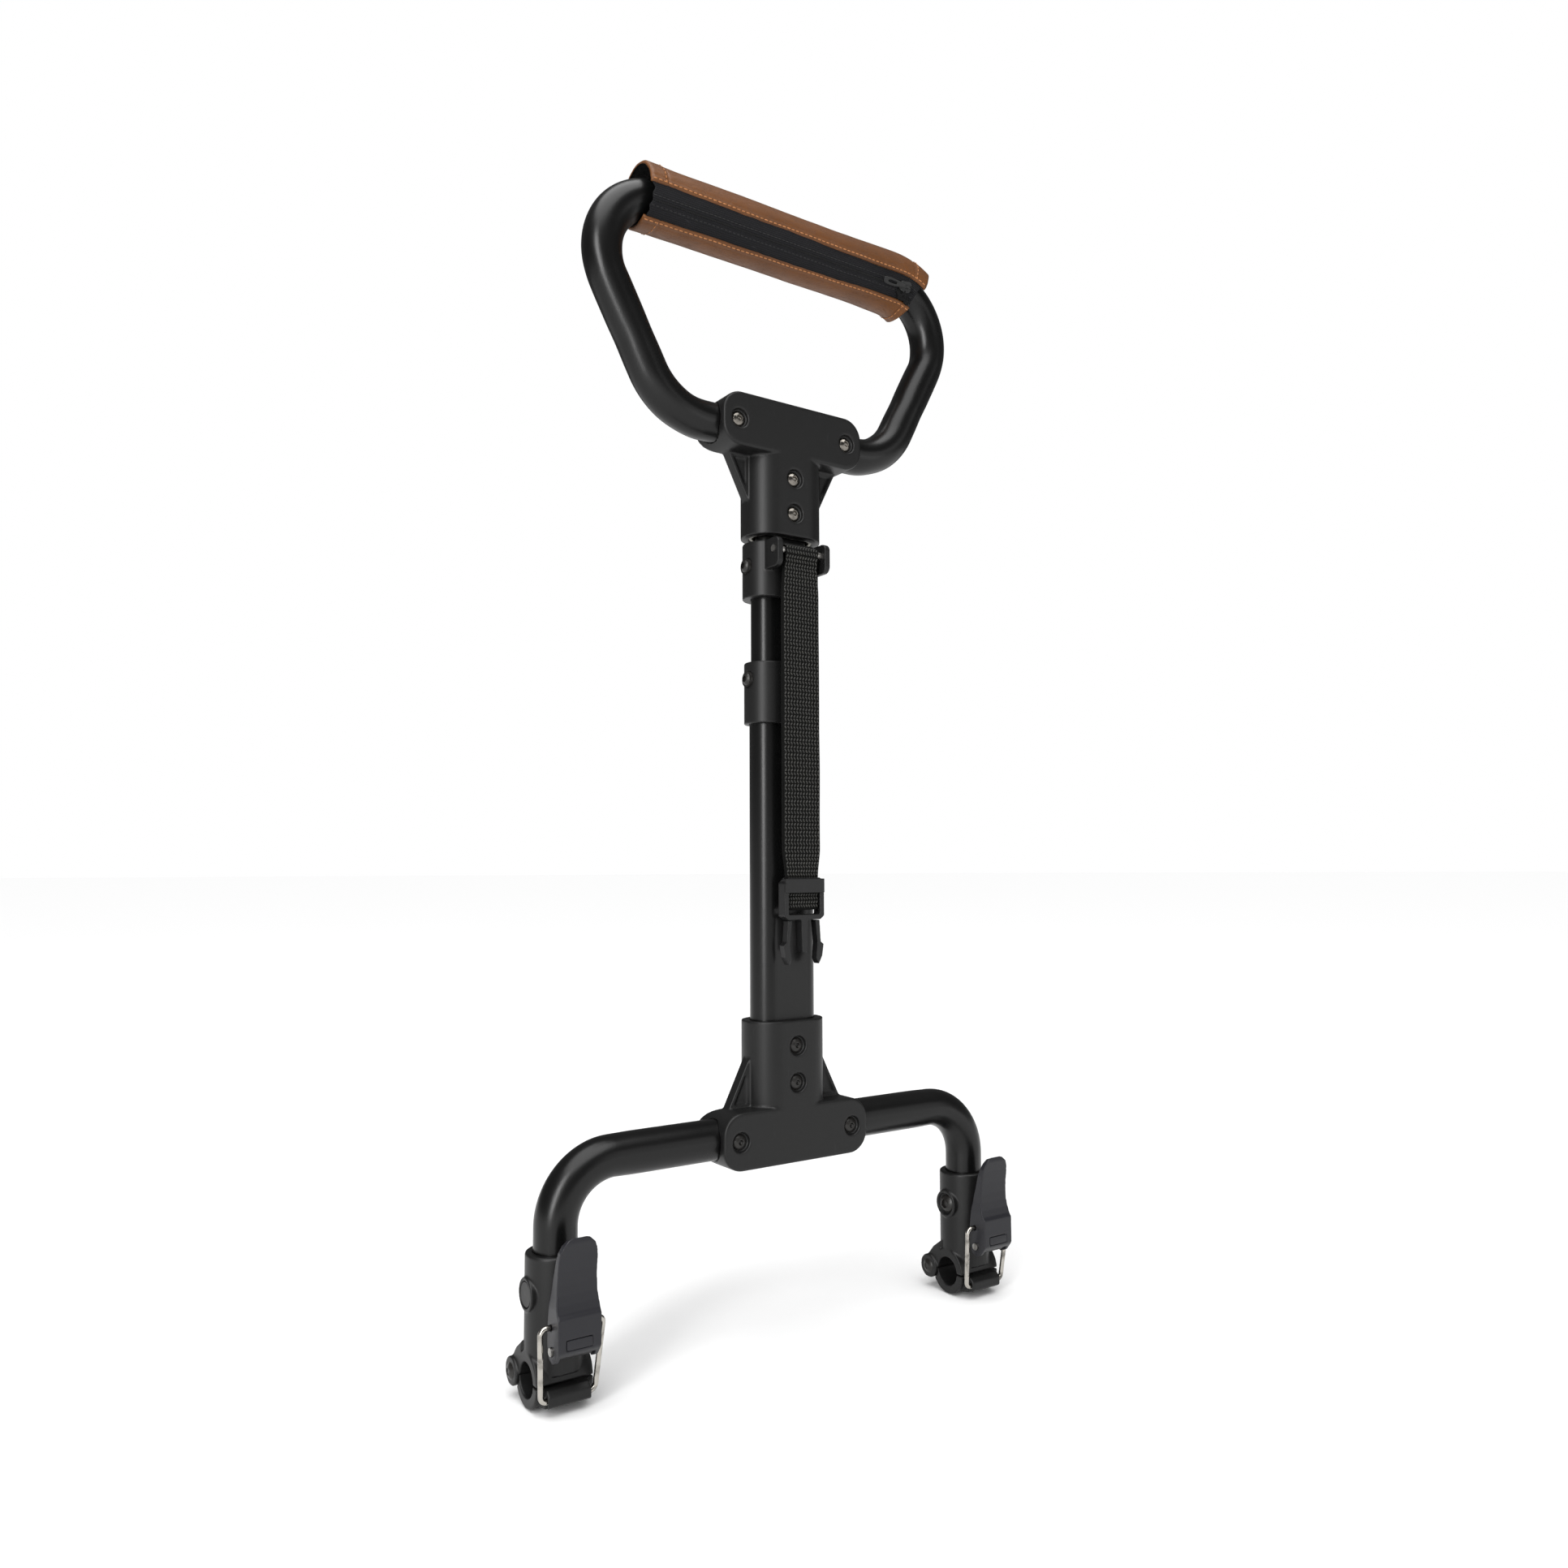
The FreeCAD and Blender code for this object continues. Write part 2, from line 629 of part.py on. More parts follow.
def buckle():
    """The male half of a side-release buckle: ladder frame with centre prong, two sprung arms."""
    body = new_body("buckle_body", y="-strap_y")
    half, high, mid = "buckle_half_width", "buckle_high", "buckle_mid"
    sketch = new_sketch(body, "XZ_Plane")
    polygon(
        sketch,
        [
            (f"-{half}", f"{mid} + 2"),
            ("-11", mid),
            ("-2.2", mid),
            ("-1.6", "buckle_low + 7"),
            ("1.6", "buckle_low + 7"),
            ("2.2", mid),
            ("11", mid),
            (half, f"{mid} + 2"),
            (half, f"{high} - 3"),
            (f"{half} - 3", high),
            (f"-{half} + 3", high),
            (f"-{half}", f"{high} - 3"),
        ],
    )
    extrude(body, "Pad", sketch, "buckle_half_thick * 2", both=True)
    sketch = new_sketch(body, "XZ_Plane")
    rectangle(sketch, f"-{half} + 0.4", f"{half} - 0.4", f"{mid} + 15", f"{high} - 0.6")
    extrude(body, "Pad", sketch, "buckle_half_thick + 0.9")
    sketch = new_sketch(body, "XZ_Plane")
    rectangle(sketch, "-(strap_half_width + 0.3)", "strap_half_width + 0.3", "strap_low - 0.4", "260")
    extrude(body, "Pocket", sketch, "strap_thick * 2 + 0.6", both=True)
    sketch = new_sketch(body, "XZ_Plane")
    rectangle(sketch, "-10.6", "10.6", f"{mid} + 3", f"{mid} + 15")
    extrude(body, "Pocket", sketch, "20", both=True)

    for name, side in (("left", "-"), ("right", "")):
        arm = new_body(f"buckle_arm_{name}", y="-strap_y")
        sketch = new_sketch(arm, "XZ_Plane")
        polygon(
            sketch,
            [
                (f"{side}10.8", f"{mid} - 0.3"),
                (f"{side}8", f"{mid} - 0.3"),
                (f"{side}9.4", "buckle_low + 12"),
                (f"{side}8.6", "buckle_low + 3"),
                (f"{side}10.2", "buckle_low"),
                (f"{side}12.6", "buckle_low + 4.5"),
                (f"{side}{half}", "buckle_low + 11"),
                (f"{side}11.6", "buckle_low + 12.5"),
            ],
        )
        extrude(arm, "Pad", sketch, "buckle_half_thick * 1.6", both=True)


# --------------------------------------------------------------------------- grip
def grip():
    """Foam sleeve, the zipped cover round it, its zip tape and the zip's slider and pull."""
    z = size("handle_high")
    foam_half = size("foam_half")
    foam = rod(size("foam_radius"), -foam_half, foam_half, X_AXIS)
    foam = foam.cut(rod(TUBE + 0.3, -foam_half - 1, foam_half + 1, X_AXIS))
    made("grip_foam", foam, z=z)

    left, right = -size("cover_left"), size("cover_right")
    outer = size("cover_outer")
    cover = rod(outer, left, right, X_AXIS)
    cover = cover.cut(rod(size("cover_inner"), left - 1, right + 1, X_AXIS))
    made("grip_cover", cover, z=z)

    middle = size("zip_middle_angle")
    spread = size("zip_half_angle")
    tape_out = outer + 0.3 + size("zip_thick")
    made("zip_tape", ring_sector(outer + 0.3, tape_out, left + 2, right - 2, middle, spread), z=z)
    slider = ring_sector(tape_out + 0.3, tape_out + 1.8, -5, 5, middle, 9)
    made("zip_slider", slider, x=size("zip_slider_x"), z=z)
    pull = ring_sector(tape_out + 2.6, tape_out + 3.8, -19, 1, middle, 5)
    made("zip_pull", pull, x=size("zip_slider_x"), z=z)


def ring_sector(inner, outer, left, right, middle, spread):
    """Part of a tube along X between two radii, centred on an angle measured from +Y to +Z."""
    corners = [(inner, -1), (outer, -1), (outer, 0), (outer, 1), (inner, 1), (inner, 0)]
    points = []
    for radius, side in corners:
        angle = math.radians(middle + side * spread)
        points.append(V(left, math.cos(angle) * radius, math.sin(angle) * radius))
    edges = [
        Part.LineSegment(points[0], points[1]).toShape(),
        Part.Arc(points[1], points[2], points[3]).toShape(),
        Part.LineSegment(points[3], points[4]).toShape(),
        Part.Arc(points[4], points[5], points[0]).toShape(),
    ]
    return Part.Face(Part.Wire(edges)).extrude(X_AXIS * (right - left))


# --------------------------------------------------------------------------- clamps
def clamp_body(name, x):
    """Socket for the leg, upper half of the bore, rear hinge lugs and the lever's nose."""
    body = new_body(f"{name}_clamp_body", x=x)
    sketch = new_sketch(body, "XY_Plane", "4")
    circle(sketch, "0", "0", "socket_radius")
    extrude(body, "Pad", sketch, "socket_top - 4")
    fillet(body, "1.2", lambda edge: abs(edge.BoundBox.ZMin - size("socket_top")) < 0.01)
    sketch = new_sketch(body, "YZ_Plane")
    circle(sketch, "0", "0", "ring_radius")
    extrude(body, "Pad", sketch, "ring_half_length * 2", both=True)
    sketch = new_sketch(body, "YZ_Plane")
    rectangle(sketch, "-30", "30", "-30", "split_gap")
    extrude(body, "Pocket", sketch, "60", both=True)
    sketch = new_sketch(body, "YZ_Plane")
    circle(sketch, "hinge_y", "hinge_z", "hinge_radius")
    extrude(body, "Pad", sketch, "ring_half_length * 2 + 3", both=True)
    sketch = new_sketch(body, "YZ_Plane")
    polygon(
        sketch,
        [
            ("8", "split_gap"),
            ("hinge_y + 3", "split_gap"),
            ("hinge_y + 2", "hinge_z + 6.6"),
            ("13", "12"),
            ("6", "17"),
        ],
    )
    extrude(body, "Pad", sketch, "ring_half_length * 2", both=True)
    sketch = new_sketch(body, "YZ_Plane")
    polygon(
        sketch,
        [
            ("-9", "17"),
            ("-14", "17"),
            ("-17.4", "pivot_z - 1.2"),
            ("-pivot_y", "pivot_z - 1.2"),
            ("-pivot_y", "pivot_z + nose_radius"),
            ("-9", "pivot_z + nose_radius + 1"),
        ],
    )
    extrude(body, "Pad", sketch, "nose_half * 2", both=True)
    sketch = new_sketch(body, "YZ_Plane")
    circle(sketch, "-pivot_y", "pivot_z", "nose_radius")
    extrude(body, "Pad", sketch, "nose_half * 2", both=True)
    sketch = new_sketch(body, "YZ_Plane")
    circle(sketch, "0", "cross_bolt_height", "boss_radius")
    extrude(body, "Pad", sketch, "boss_face * 2", both=True)

    sketch = new_sketch(body, "XY_Plane", "leg_bottom - 0.2")
    circle(sketch, "0", "0", "tube_radius + tube_play")
    extrude(body, "Pocket", sketch, "60", back=True)
    sketch = new_sketch(body, "YZ_Plane")
    circle(sketch, "0", "0", "bore_radius")
    extrude(body, "Pocket", sketch, "60", both=True)
    sketch = new_sketch(body, "YZ_Plane")
    circle(sketch, "hinge_y", "hinge_z", "hinge_radius + 0.4")
    extrude(body, "Pocket", sketch, "knuckle_half * 2 + 0.6", both=True)
    sketch = new_sketch(body, "YZ_Plane")
    circle(sketch, "hinge_y", "hinge_z", "hinge_pin + 0.02")
    circle(sketch, "-pivot_y", "pivot_z", "pivot_pin + 0.02")
    circle(sketch, "0", "cross_bolt_height", "screw_shank + 0.02")
    extrude(body, "Pocket", sketch, "60", both=True)
    for side, back in (("", True), ("-", False)):
        sketch = new_sketch(body, "YZ_Plane", f"{side}(boss_face - 1.6)")
        circle(sketch, "0", "cross_bolt_height", "boss_recess")
        extrude(body, "Pocket", sketch, "4", back=back)


def clamp_jaw(name, x):
    """Lower half of the bore with its hinge knuckle behind and the hook for the bail in front."""
    body = new_body(f"{name}_clamp_jaw", x=x)
    sketch = new_sketch(body, "YZ_Plane")
    circle(sketch, "0", "0", "ring_radius")
    extrude(body, "Pad", sketch, "ring_half_length * 2", both=True)
    sketch = new_sketch(body, "YZ_Plane")
    polygon(
        sketch,
        [
            ("-hook_front", "-3"),
            ("-hook_front + 2.7", "-split_gap"),
            ("-8", "-split_gap"),
            ("-8", "-11"),
            ("-hook_front + 1.6", "-9"),
            ("-hook_front", "-7.4"),
        ],
    )
    extrude(body, "Pad", sketch, "hook_half * 2", both=True)
    sketch = new_sketch(body, "YZ_Plane")
    rectangle(sketch, "-30", "30", "-split_gap", "30")
    extrude(body, "Pocket", sketch, "60", both=True)
    sketch = new_sketch(body, "YZ_Plane")
    circle(sketch, "hinge_y", "hinge_z", "hinge_radius + 0.4")
    extrude(body, "Pocket", sketch, "60", both=True)
    sketch = new_sketch(body, "YZ_Plane")
    polygon(
        sketch,
        [
            ("8.5", "-split_gap"),
            ("7", "-10.5"),
            ("hinge_y", "hinge_z - hinge_radius + 0.6"),
            ("hinge_y", "-split_gap - 0.1"),
        ],
    )
    extrude(body, "Pad", sketch, "knuckle_half * 2", both=True)
    sketch = new_sketch(body, "YZ_Plane")
    circle(sketch, "hinge_y", "hinge_z", "hinge_radius - 0.4")
    extrude(body, "Pad", sketch, "knuckle_half * 2", both=True)
    sketch = new_sketch(body, "YZ_Plane")
    circle(sketch, "0", "0", "bore_radius")
    extrude(body, "Pocket", sketch, "60", both=True)
    sketch = new_sketch(body, "YZ_Plane")
    circle(sketch, "hinge_y", "hinge_z", "hinge_pin + 0.04")
    extrude(body, "Pocket", sketch, "60", both=True)
    sketch = new_sketch(body, "YZ_Plane")
    edge = "bail_wire + 0.1"
    polygon(
        sketch,
        [
            (f"-bar_y - ({edge})", "-14"),
            (f"-bar_y + ({edge})", "-14"),
            (f"-bar_y + ({edge})", f"bar_z + {edge}"),
            (f"-bar_y - ({edge})", f"bar_z + {edge}"),
        ],
    )
    extrude(body, "Pocket", sketch, "60", both=True)


def clamp_lever(name, x):
    """The over-centre lever: a boxed foot with two cheeks and a thumb paddle above it."""
    body = new_body(f"{name}_clamp_lever", x=x)
    sketch = new_sketch(body, "YZ_Plane")
    polygon(
        sketch,
        [
            ("-lever_front + 0.6", "pivot_z"),
            ("-lever_front", "pivot_z + 1.2"),
            ("-lever_front", "36"),
            ("-28.5", "38"),
            ("-27.3", "41.5"),
            ("-26.5", "46"),
            ("-26.3", "51"),
            ("-26.8", "57"),
            ("-28", "64.5"),
            ("-29.4", "lever_tip - 2.5"),
            ("-28.6", "lever_tip"),
            ("-26.6", "lever_tip - 1.2"),
            ("-23.4", "62"),
            ("-20.6", "52"),
            ("-18.2", "42"),
            ("-16.8", "32"),
            ("-16.4", "22"),
            ("-18.4", "15.6"),
            ("-22", "13.6"),
            ("-26", "15.2"),
        ],
    )
    extrude(body, "Pad", sketch, "cheek_outer * 2", both=True)
    sketch = new_sketch(body, "XZ_Plane")
    polygon(
        sketch,
        [
            ("-3", "lever_tip + 1"),
            ("-20", "lever_tip + 1"),
            ("-20", "40"),
            ("-cheek_outer - 0.01", "40"),
            ("-10.7", "46"),
            ("-10.4", "54"),
            ("-10.3", "62"),
            ("-9.7", "66.4"),
            ("-8.2", "69.8"),
            ("-5.8", "72.1"),
            ("-3", "lever_tip + 0.1"),
        ],
    )
    extrude(body, "Pocket", sketch, "80", both=True)
    sketch = new_sketch(body, "XZ_Plane")
    polygon(
        sketch,
        [
            ("3", "lever_tip + 1"),
            ("20", "lever_tip + 1"),
            ("20", "40"),
            ("cheek_outer + 0.01", "40"),
            ("10.7", "46"),
            ("10.4", "54"),
            ("10.3", "62"),
            ("9.7", "66.4"),
            ("8.2", "69.8"),
            ("5.8", "72.1"),
            ("3", "lever_tip + 0.1"),
        ],
    )
    extrude(body, "Pocket", sketch, "80", both=True)
    sketch = new_sketch(body, "YZ_Plane")
    polygon(
        sketch,
        [
            ("-lever_front + 2.2", "10"),
            ("-lever_front + 2.2", "34.5"),
            ("-25", "40.5"),
            ("-24.2", "50"),
            ("-10", "50"),
            ("-10", "10"),
        ],
    )
    extrude(body, "Pocket", sketch, "cheek_inner * 2", both=True)
    sketch = new_sketch(body, "XZ_Plane", "lever_front - 0.7")
    rectangle(sketch, "-7.2", "7.2", "20.9", "26.3")
    extrude(body, "Pocket", sketch, "3", back=True)
    sketch = new_sketch(body, "YZ_Plane")
    circle(sketch, "-pivot_y", "pivot_z", "pivot_pin + 0.04")
    circle(sketch, "-bail_y", "bail_z", "bail_wire + 0.06")
    extrude(body, "Pocket", sketch, "60", both=True)


def clamp_wire_and_pins(name, side):
    """The wire bail, the lever and jaw pins, and the cross bolt with its cover disc."""
    x = side * LEG_X
    y, z = -size("bail_y"), size("bail_z")
    inner = size("cheek_inner") + 0.1
    points = [V(-inner, y, z), V(-size("bail_half_high"), y, z)]
    points.append(V(-size("bail_half_low"), -size("bar_y"), size("bar_z")))
    points += [V(-p.x, p.y, p.z) for p in reversed(points)]
    wire = size("bail_wire")
    path = bent_path(points, [3, 3.4, 3.4, 3])
    ring = Part.Wire(Part.makeCircle(wire, points[0], X_AXIS))
    made(f"{name}_clamp_bail", path.makePipeShell([ring], True, False), x=x)

    pivot = V(0, -size("pivot_y"), size("pivot_z"))
    radius = size("pivot_pin")
    reach = size("cheek_outer") + 0.9
    pin = rod(radius, -reach, reach, X_AXIS, pivot)
    made(f"{name}_lever_pin", pin, x=x)

    hinge = V(0, size("hinge_y"), size("hinge_z"))
    reach = size("ring_half_length") + 1.5
    pin = rod(size("hinge_pin"), -reach - 1, reach + 1, X_AXIS, hinge)
    inner_head = dome_head(4.2, 1.6, X_AXIS * -side, hinge + X_AXIS * (-side * (reach + 0.02)))
    outer_head = dome_head(4.2, 1.6, X_AXIS * side, hinge + X_AXIS * (side * (reach + 0.02)))
    made(f"{name}_jaw_pin", pin.fuse([inner_head, outer_head]), x=x)

    seat = size("boss_face") - 1.6
    bolt = V(0, 0, size("cross_bolt_height"))
    shank = rod(SHANK, -seat, seat, X_AXIS, bolt)
    head = dome_head(5.6, 2.7, X_AXIS * -side, bolt + X_AXIS * (-side * seat))
    made(f"{name}_cross_bolt", shank.fuse(head), x=x)
    disc = rod(5.9, 0.02, 1.2, X_AXIS * side, bolt + X_AXIS * (side * seat))
    made(f"{name}_bolt_cover", disc, x=x)


# --------------------------------------------------------------------------- build and write
lower_frame_tube()
handle_loop_tube()
bracket("lower_bracket", "crossbar_height", up=True)
bracket("upper_bracket", "handle_low", up=False)
bracket_fasteners("lower_bracket", CROSSBAR_Z, up=True)
bracket_fasteners("upper_bracket", HANDLE_Z, up=False)

POST = ("post_half_width", "post_half_depth")
MIDDLE = ("middle_half_width", "middle_half_depth")
INNER = ("inner_half_width", "inner_half_depth")
SCREWS_UP = ("crossbar_height + post_screw_low", "crossbar_height + post_screw_high")
SCREWS_DOWN = ("handle_low - post_screw_low", "handle_low - post_screw_high")
SOCKET_LOW = "crossbar_height + socket_floor"
SOCKET_HIGH = "handle_low - socket_floor"
HEAD_LOW = "handle_low - socket_reach + 0.6"
oval_tube("outer_post_tube", *POST, "post_wall", SOCKET_LOW, "lower_collar_high - collar_lip", SCREWS_UP)
oval_tube("middle_post_tube", *MIDDLE, "post_wall", "middle_bottom", "upper_collar_high - collar_lip")
oval_tube("inner_post_tube", *INNER, "1.2", "inner_bottom", SOCKET_HIGH)
oval_tube("head_sleeve_tube", *POST, "1.5", HEAD_LOW, SOCKET_HIGH, SCREWS_DOWN)
guide_bush(
    "inner_foot_bush",
    ("middle_half_width - post_wall - slide_play", "middle_half_depth - post_wall - slide_play"),
    ("inner_half_width + 0.02", "inner_half_depth + 0.02"),
    "inner_bottom",
    "inner_bottom + bush_tall",
)
guide_bush(
    "head_bush",
    ("post_half_width - 1.52", "post_half_depth - 1.52"),
    ("inner_half_width + 0.02", "inner_half_depth + 0.02"),
    "handle_low - socket_reach + 8",
    SOCKET_HIGH,
)
LOWER = ("lower_collar_high - lower_screw_drop", "collar_wall", "post_half_width")
UPPER = ("upper_collar_high - upper_screw_drop", "upper_collar_wall", "middle_half_width")
lower_collar = collar(
    "lower_collar", "lower_collar_low", "lower_collar_high", "collar_wall", POST, MIDDLE
)
drilled_collar(lower_collar, *LOWER)
upper_collar = collar(
    "upper_collar", "upper_collar_low", "upper_collar_high", "upper_collar_wall", MIDDLE, INNER
)
collar_lugs(upper_collar)
drilled_collar(upper_collar, *UPPER)
collar_screw("lower_collar_screw", *LOWER)
collar_screw("upper_collar_screw", *UPPER)
strap()
buckle()
grip()
for clamp_name, clamp_side in (("left", -1), ("right", 1)):
    clamp_x = f"{clamp_side} * leg_spacing_half"
    clamp_body(clamp_name, clamp_x)
    clamp_jaw(clamp_name, clamp_x)
    clamp_lever(clamp_name, clamp_x)
    clamp_wire_and_pins(clamp_name, clamp_side)

doc.recompute()
for item in doc.Objects:
    if any(word in state for state in item.State for word in ("Invalid", "Error")):
        raise RuntimeError(f"{item.Name} did not recompute: {item.State}")

parts = [item for item in doc.Objects if item.TypeId in ("PartDesign::Body", "Part::Feature")]
for item in parts:
    if item.Shape.isNull() or not item.Shape.isValid():
        raise RuntimeError(f"{item.Label} has no valid shape")
os.makedirs("parts", exist_ok=True)
for item in parts:
    item.Shape.exportStep(f"parts/{item.Label}.step")
print(len(parts), "parts")
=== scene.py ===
"""Clamp-on telescopic handle: the pieces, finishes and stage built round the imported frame.

Everything is in metres in the frame's own axes: +X along the clamp bores, +Z up the post,
-Y towards the strap and the clamp levers.
"""

import bmesh
import bpy
import math
from mathutils import Matrix, Vector, noise


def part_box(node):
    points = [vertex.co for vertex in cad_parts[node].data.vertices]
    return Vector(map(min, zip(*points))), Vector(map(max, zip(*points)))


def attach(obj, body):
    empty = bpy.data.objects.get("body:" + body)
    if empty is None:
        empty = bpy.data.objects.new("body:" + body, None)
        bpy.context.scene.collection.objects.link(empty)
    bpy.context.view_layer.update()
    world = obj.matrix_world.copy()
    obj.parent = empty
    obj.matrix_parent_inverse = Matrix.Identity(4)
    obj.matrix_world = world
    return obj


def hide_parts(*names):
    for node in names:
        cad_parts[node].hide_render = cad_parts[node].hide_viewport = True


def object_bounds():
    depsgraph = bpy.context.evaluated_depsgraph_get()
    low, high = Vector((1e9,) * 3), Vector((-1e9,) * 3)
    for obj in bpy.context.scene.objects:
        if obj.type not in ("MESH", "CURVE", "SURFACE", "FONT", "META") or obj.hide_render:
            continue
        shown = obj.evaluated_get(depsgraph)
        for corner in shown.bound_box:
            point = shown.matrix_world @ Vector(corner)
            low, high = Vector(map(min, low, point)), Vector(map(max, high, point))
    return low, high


bl_info = {
    "name": "Telescopic clamp-on handle",
    "version": (1, 0, 0),
    "blender": (4, 5, 0),
    "location": "3D View > Sidebar > Handle",
    "description": "Builds the pieces and finishes of a telescopic clamp-on handle",
    "category": "Object",
}

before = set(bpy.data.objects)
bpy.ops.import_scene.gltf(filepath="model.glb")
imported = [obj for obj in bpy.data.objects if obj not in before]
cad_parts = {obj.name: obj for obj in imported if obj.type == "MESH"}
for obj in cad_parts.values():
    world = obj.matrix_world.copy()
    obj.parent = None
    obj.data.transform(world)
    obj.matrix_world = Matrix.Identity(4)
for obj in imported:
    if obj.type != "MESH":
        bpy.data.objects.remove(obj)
CAD_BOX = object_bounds()

MM = 0.001
SIDES = (("left", -1), ("right", 1))


# --------------------------------------------------------------------------- shader toolkit
class Wire:
    """One output of a shader node. Arithmetic on it adds Math nodes."""

    def __init__(self, finish, socket):
        self.finish = finish
        self.socket = socket

    def math(self, operation, *values):
        node = self.finish.add("ShaderNodeMath", {"operation": operation}, dict(enumerate(values)))
        return self.finish.wire(node)

    def __add__(self, other):
        return self.math("ADD", self, other)

    def __radd__(self, other):
        return self.math("ADD", other, self)

    def __sub__(self, other):
        return self.math("SUBTRACT", self, other)

    def __rsub__(self, other):
        return self.math("SUBTRACT", other, self)

    def __mul__(self, other):
        return self.math("MULTIPLY", self, other)

    def __rmul__(self, other):
        return self.math("MULTIPLY", other, self)

    def absolute(self):
        return self.math("ABSOLUTE", self)

    def sine(self):
        return self.math("SINE", self)

    def between(self, low, high):
        """Rises smoothly from 0 to 1 as the value goes from low to high."""
        settings = {"interpolation_type": "SMOOTHSTEP"}
        node = self.finish.add("ShaderNodeMapRange", settings, {0: self, 1: low, 2: high})
        return self.finish.wire(node)


class Finish:
    """A material under construction."""

    def __init__(self, name):
        self.material = bpy.data.materials.new(name)
        self.material.use_nodes = True
        self.tree = self.material.node_tree
        self.tree.nodes.clear()

    def add(self, kind, settings=None, sockets=None):
        """Adds a node, sets its settings first, then the values or links of its sockets."""
        node = self.tree.nodes.new(kind)
        for name, value in (settings or {}).items():
            if name == "stops":
                self.set_stops(node.color_ramp, value)
            else:
                setattr(node, name, value)
        for key, value in (sockets or {}).items():
            if isinstance(value, Wire):
                self.tree.links.new(value.socket, node.inputs[key])
            else:
                node.inputs[key].default_value = value
        return node

    def set_stops(self, ramp, stops):
        while len(ramp.elements) > 1:
            ramp.elements.remove(ramp.elements[-1])
        for index, (place, colour) in enumerate(stops):
            stop = ramp.elements[0] if index == 0 else ramp.elements.new(place)
            stop.position = place
            stop.color = colour

    def wire(self, node, output=0):
        return Wire(self, node.outputs[output])

    def place(self, stretch=(1, 1, 1), turn=(0, 0, 0)):
        """Object coordinates, stretched and turned."""
        where = self.wire(self.add("ShaderNodeTexCoord"), "Object")
        sockets = {"Vector": where, "Rotation": turn, "Scale": stretch}
        return self.wire(self.add("ShaderNodeMapping", None, sockets))

    def cloth(self, stretch=(1, 1, 1)):
        """The piece's own UV map, stretched."""
        where = self.wire(self.add("ShaderNodeUVMap", {"uv_map": "weave"}))
        return self.wire(self.add("ShaderNodeMapping", None, {"Vector": where, "Scale": stretch}))

    def grain(self, where, scale, detail=3.0, roughness=0.5):
        sockets = {"Vector": where, "Scale": scale, "Detail": detail, "Roughness": roughness}
        return self.wire(self.add("ShaderNodeTexNoise", None, sockets))

    def cells(self, where, scale, feature="F1"):
        sockets = {"Vector": where, "Scale": scale}
        return self.wire(self.add("ShaderNodeTexVoronoi", {"feature": feature}, sockets))

    def blend(self, share, first, second):
        """A colour between two colours."""
        settings = {"data_type": "RGBA", "clamp_factor": True}
        node = self.add("ShaderNodeMix", settings, {0: share, 6: first, 7: second})
        return self.wire(node, 2)

    def relief(self, height, distance, strength=1.0, under=None):
        """A bump of one height field, over another bump where given."""
        sockets = {"Height": height, "Distance": distance, "Strength": strength}
        if under is not None:
            sockets["Normal"] = under
        return self.wire(self.add("ShaderNodeBump", None, sockets))

    def shade(self, colour, roughness, normal=None, **constants):
        """Ends the material in one Principled shader; the keywords are its constant sockets."""
        sockets = {"Base Color": colour, "Roughness": roughness}
        if normal is not None:
            sockets["Normal"] = normal
        for name, value in constants.items():
            sockets[name.replace("_", " ").title().replace("Ior", "IOR")] = value
        shader = self.add("ShaderNodeBsdfPrincipled", None, sockets)
        self.add("ShaderNodeOutputMaterial", None, {"Surface": self.wire(shader)})
        return self.material


def grey(value, blue=0.0):
    """An opaque near-neutral colour, a little bluer where asked."""
    return (value, value, value * (1 + blue), 1)


# --------------------------------------------------------------------------- finishes
def powder_coat():
    """Semi-gloss black powder coat: faint orange peel, patchy sheen and a few pale specks."""
    make = Finish("powder_coat")
    where = make.place()
    peel = make.grain(where, 950, 2.0)
    patches = make.grain(where, 22, 3.0)
    specks = make.cells(where, 700)
    dust = (1 - specks.between(0.02, 0.09)) * make.grain(where, 60, 1.0).between(0.6, 0.7)
    tone = make.blend(patches, grey(0.0018), grey(0.0032))
    tone = make.blend(dust * 0.35, tone, grey(0.12))
    return make.shade(
        tone, 0.23 + patches * 0.12, make.relief(peel, 0.00005, 0.5), specular_ior_level=0.28
    )


def moulded_plastic(name="moulded_plastic", shade=0.0048, blue=0.0, rough=0.38, depth=0.5):
    """Fine spark-eroded moulded plastic with slight rub marks."""
    make = Finish(name)
    where = make.place()
    fine = make.grain(where, 3600, 2.0)
    coarse = make.grain(where, 1300, 2.0)
    patches = make.grain(where, 30, 4.0)
    rubs = make.grain(make.place((1, 1, 0.15), (0.4, 0.3, 0.2)), 420, 2.0).between(0.66, 0.8)
    tone = make.blend(patches, grey(shade * 0.85, blue), grey(shade * 1.15, blue))
    tone = make.blend(rubs * 0.08, tone, grey(0.05, blue))
    bump = make.relief(fine * 0.6 + coarse * 0.4, 0.00006, depth)
    return make.shade(tone, rough + patches * 0.1 - rubs * 0.06, bump, specular_ior_level=0.28)


def lever_plastic():
    """Smooth blue-grey lever plastic."""
    return moulded_plastic("lever_plastic", 0.012, 0.22, 0.3, 0.2)


def buckle_plastic():
    """Glossier acetal plastic."""
    return moulded_plastic("buckle_plastic", 0.0055, 0.03, 0.28, 0.16)


def lug_plastic():
    """Dark plastic of the post's slide bushes."""
    return moulded_plastic("bush_plastic", 0.006, 0.0, 0.5, 0.3)


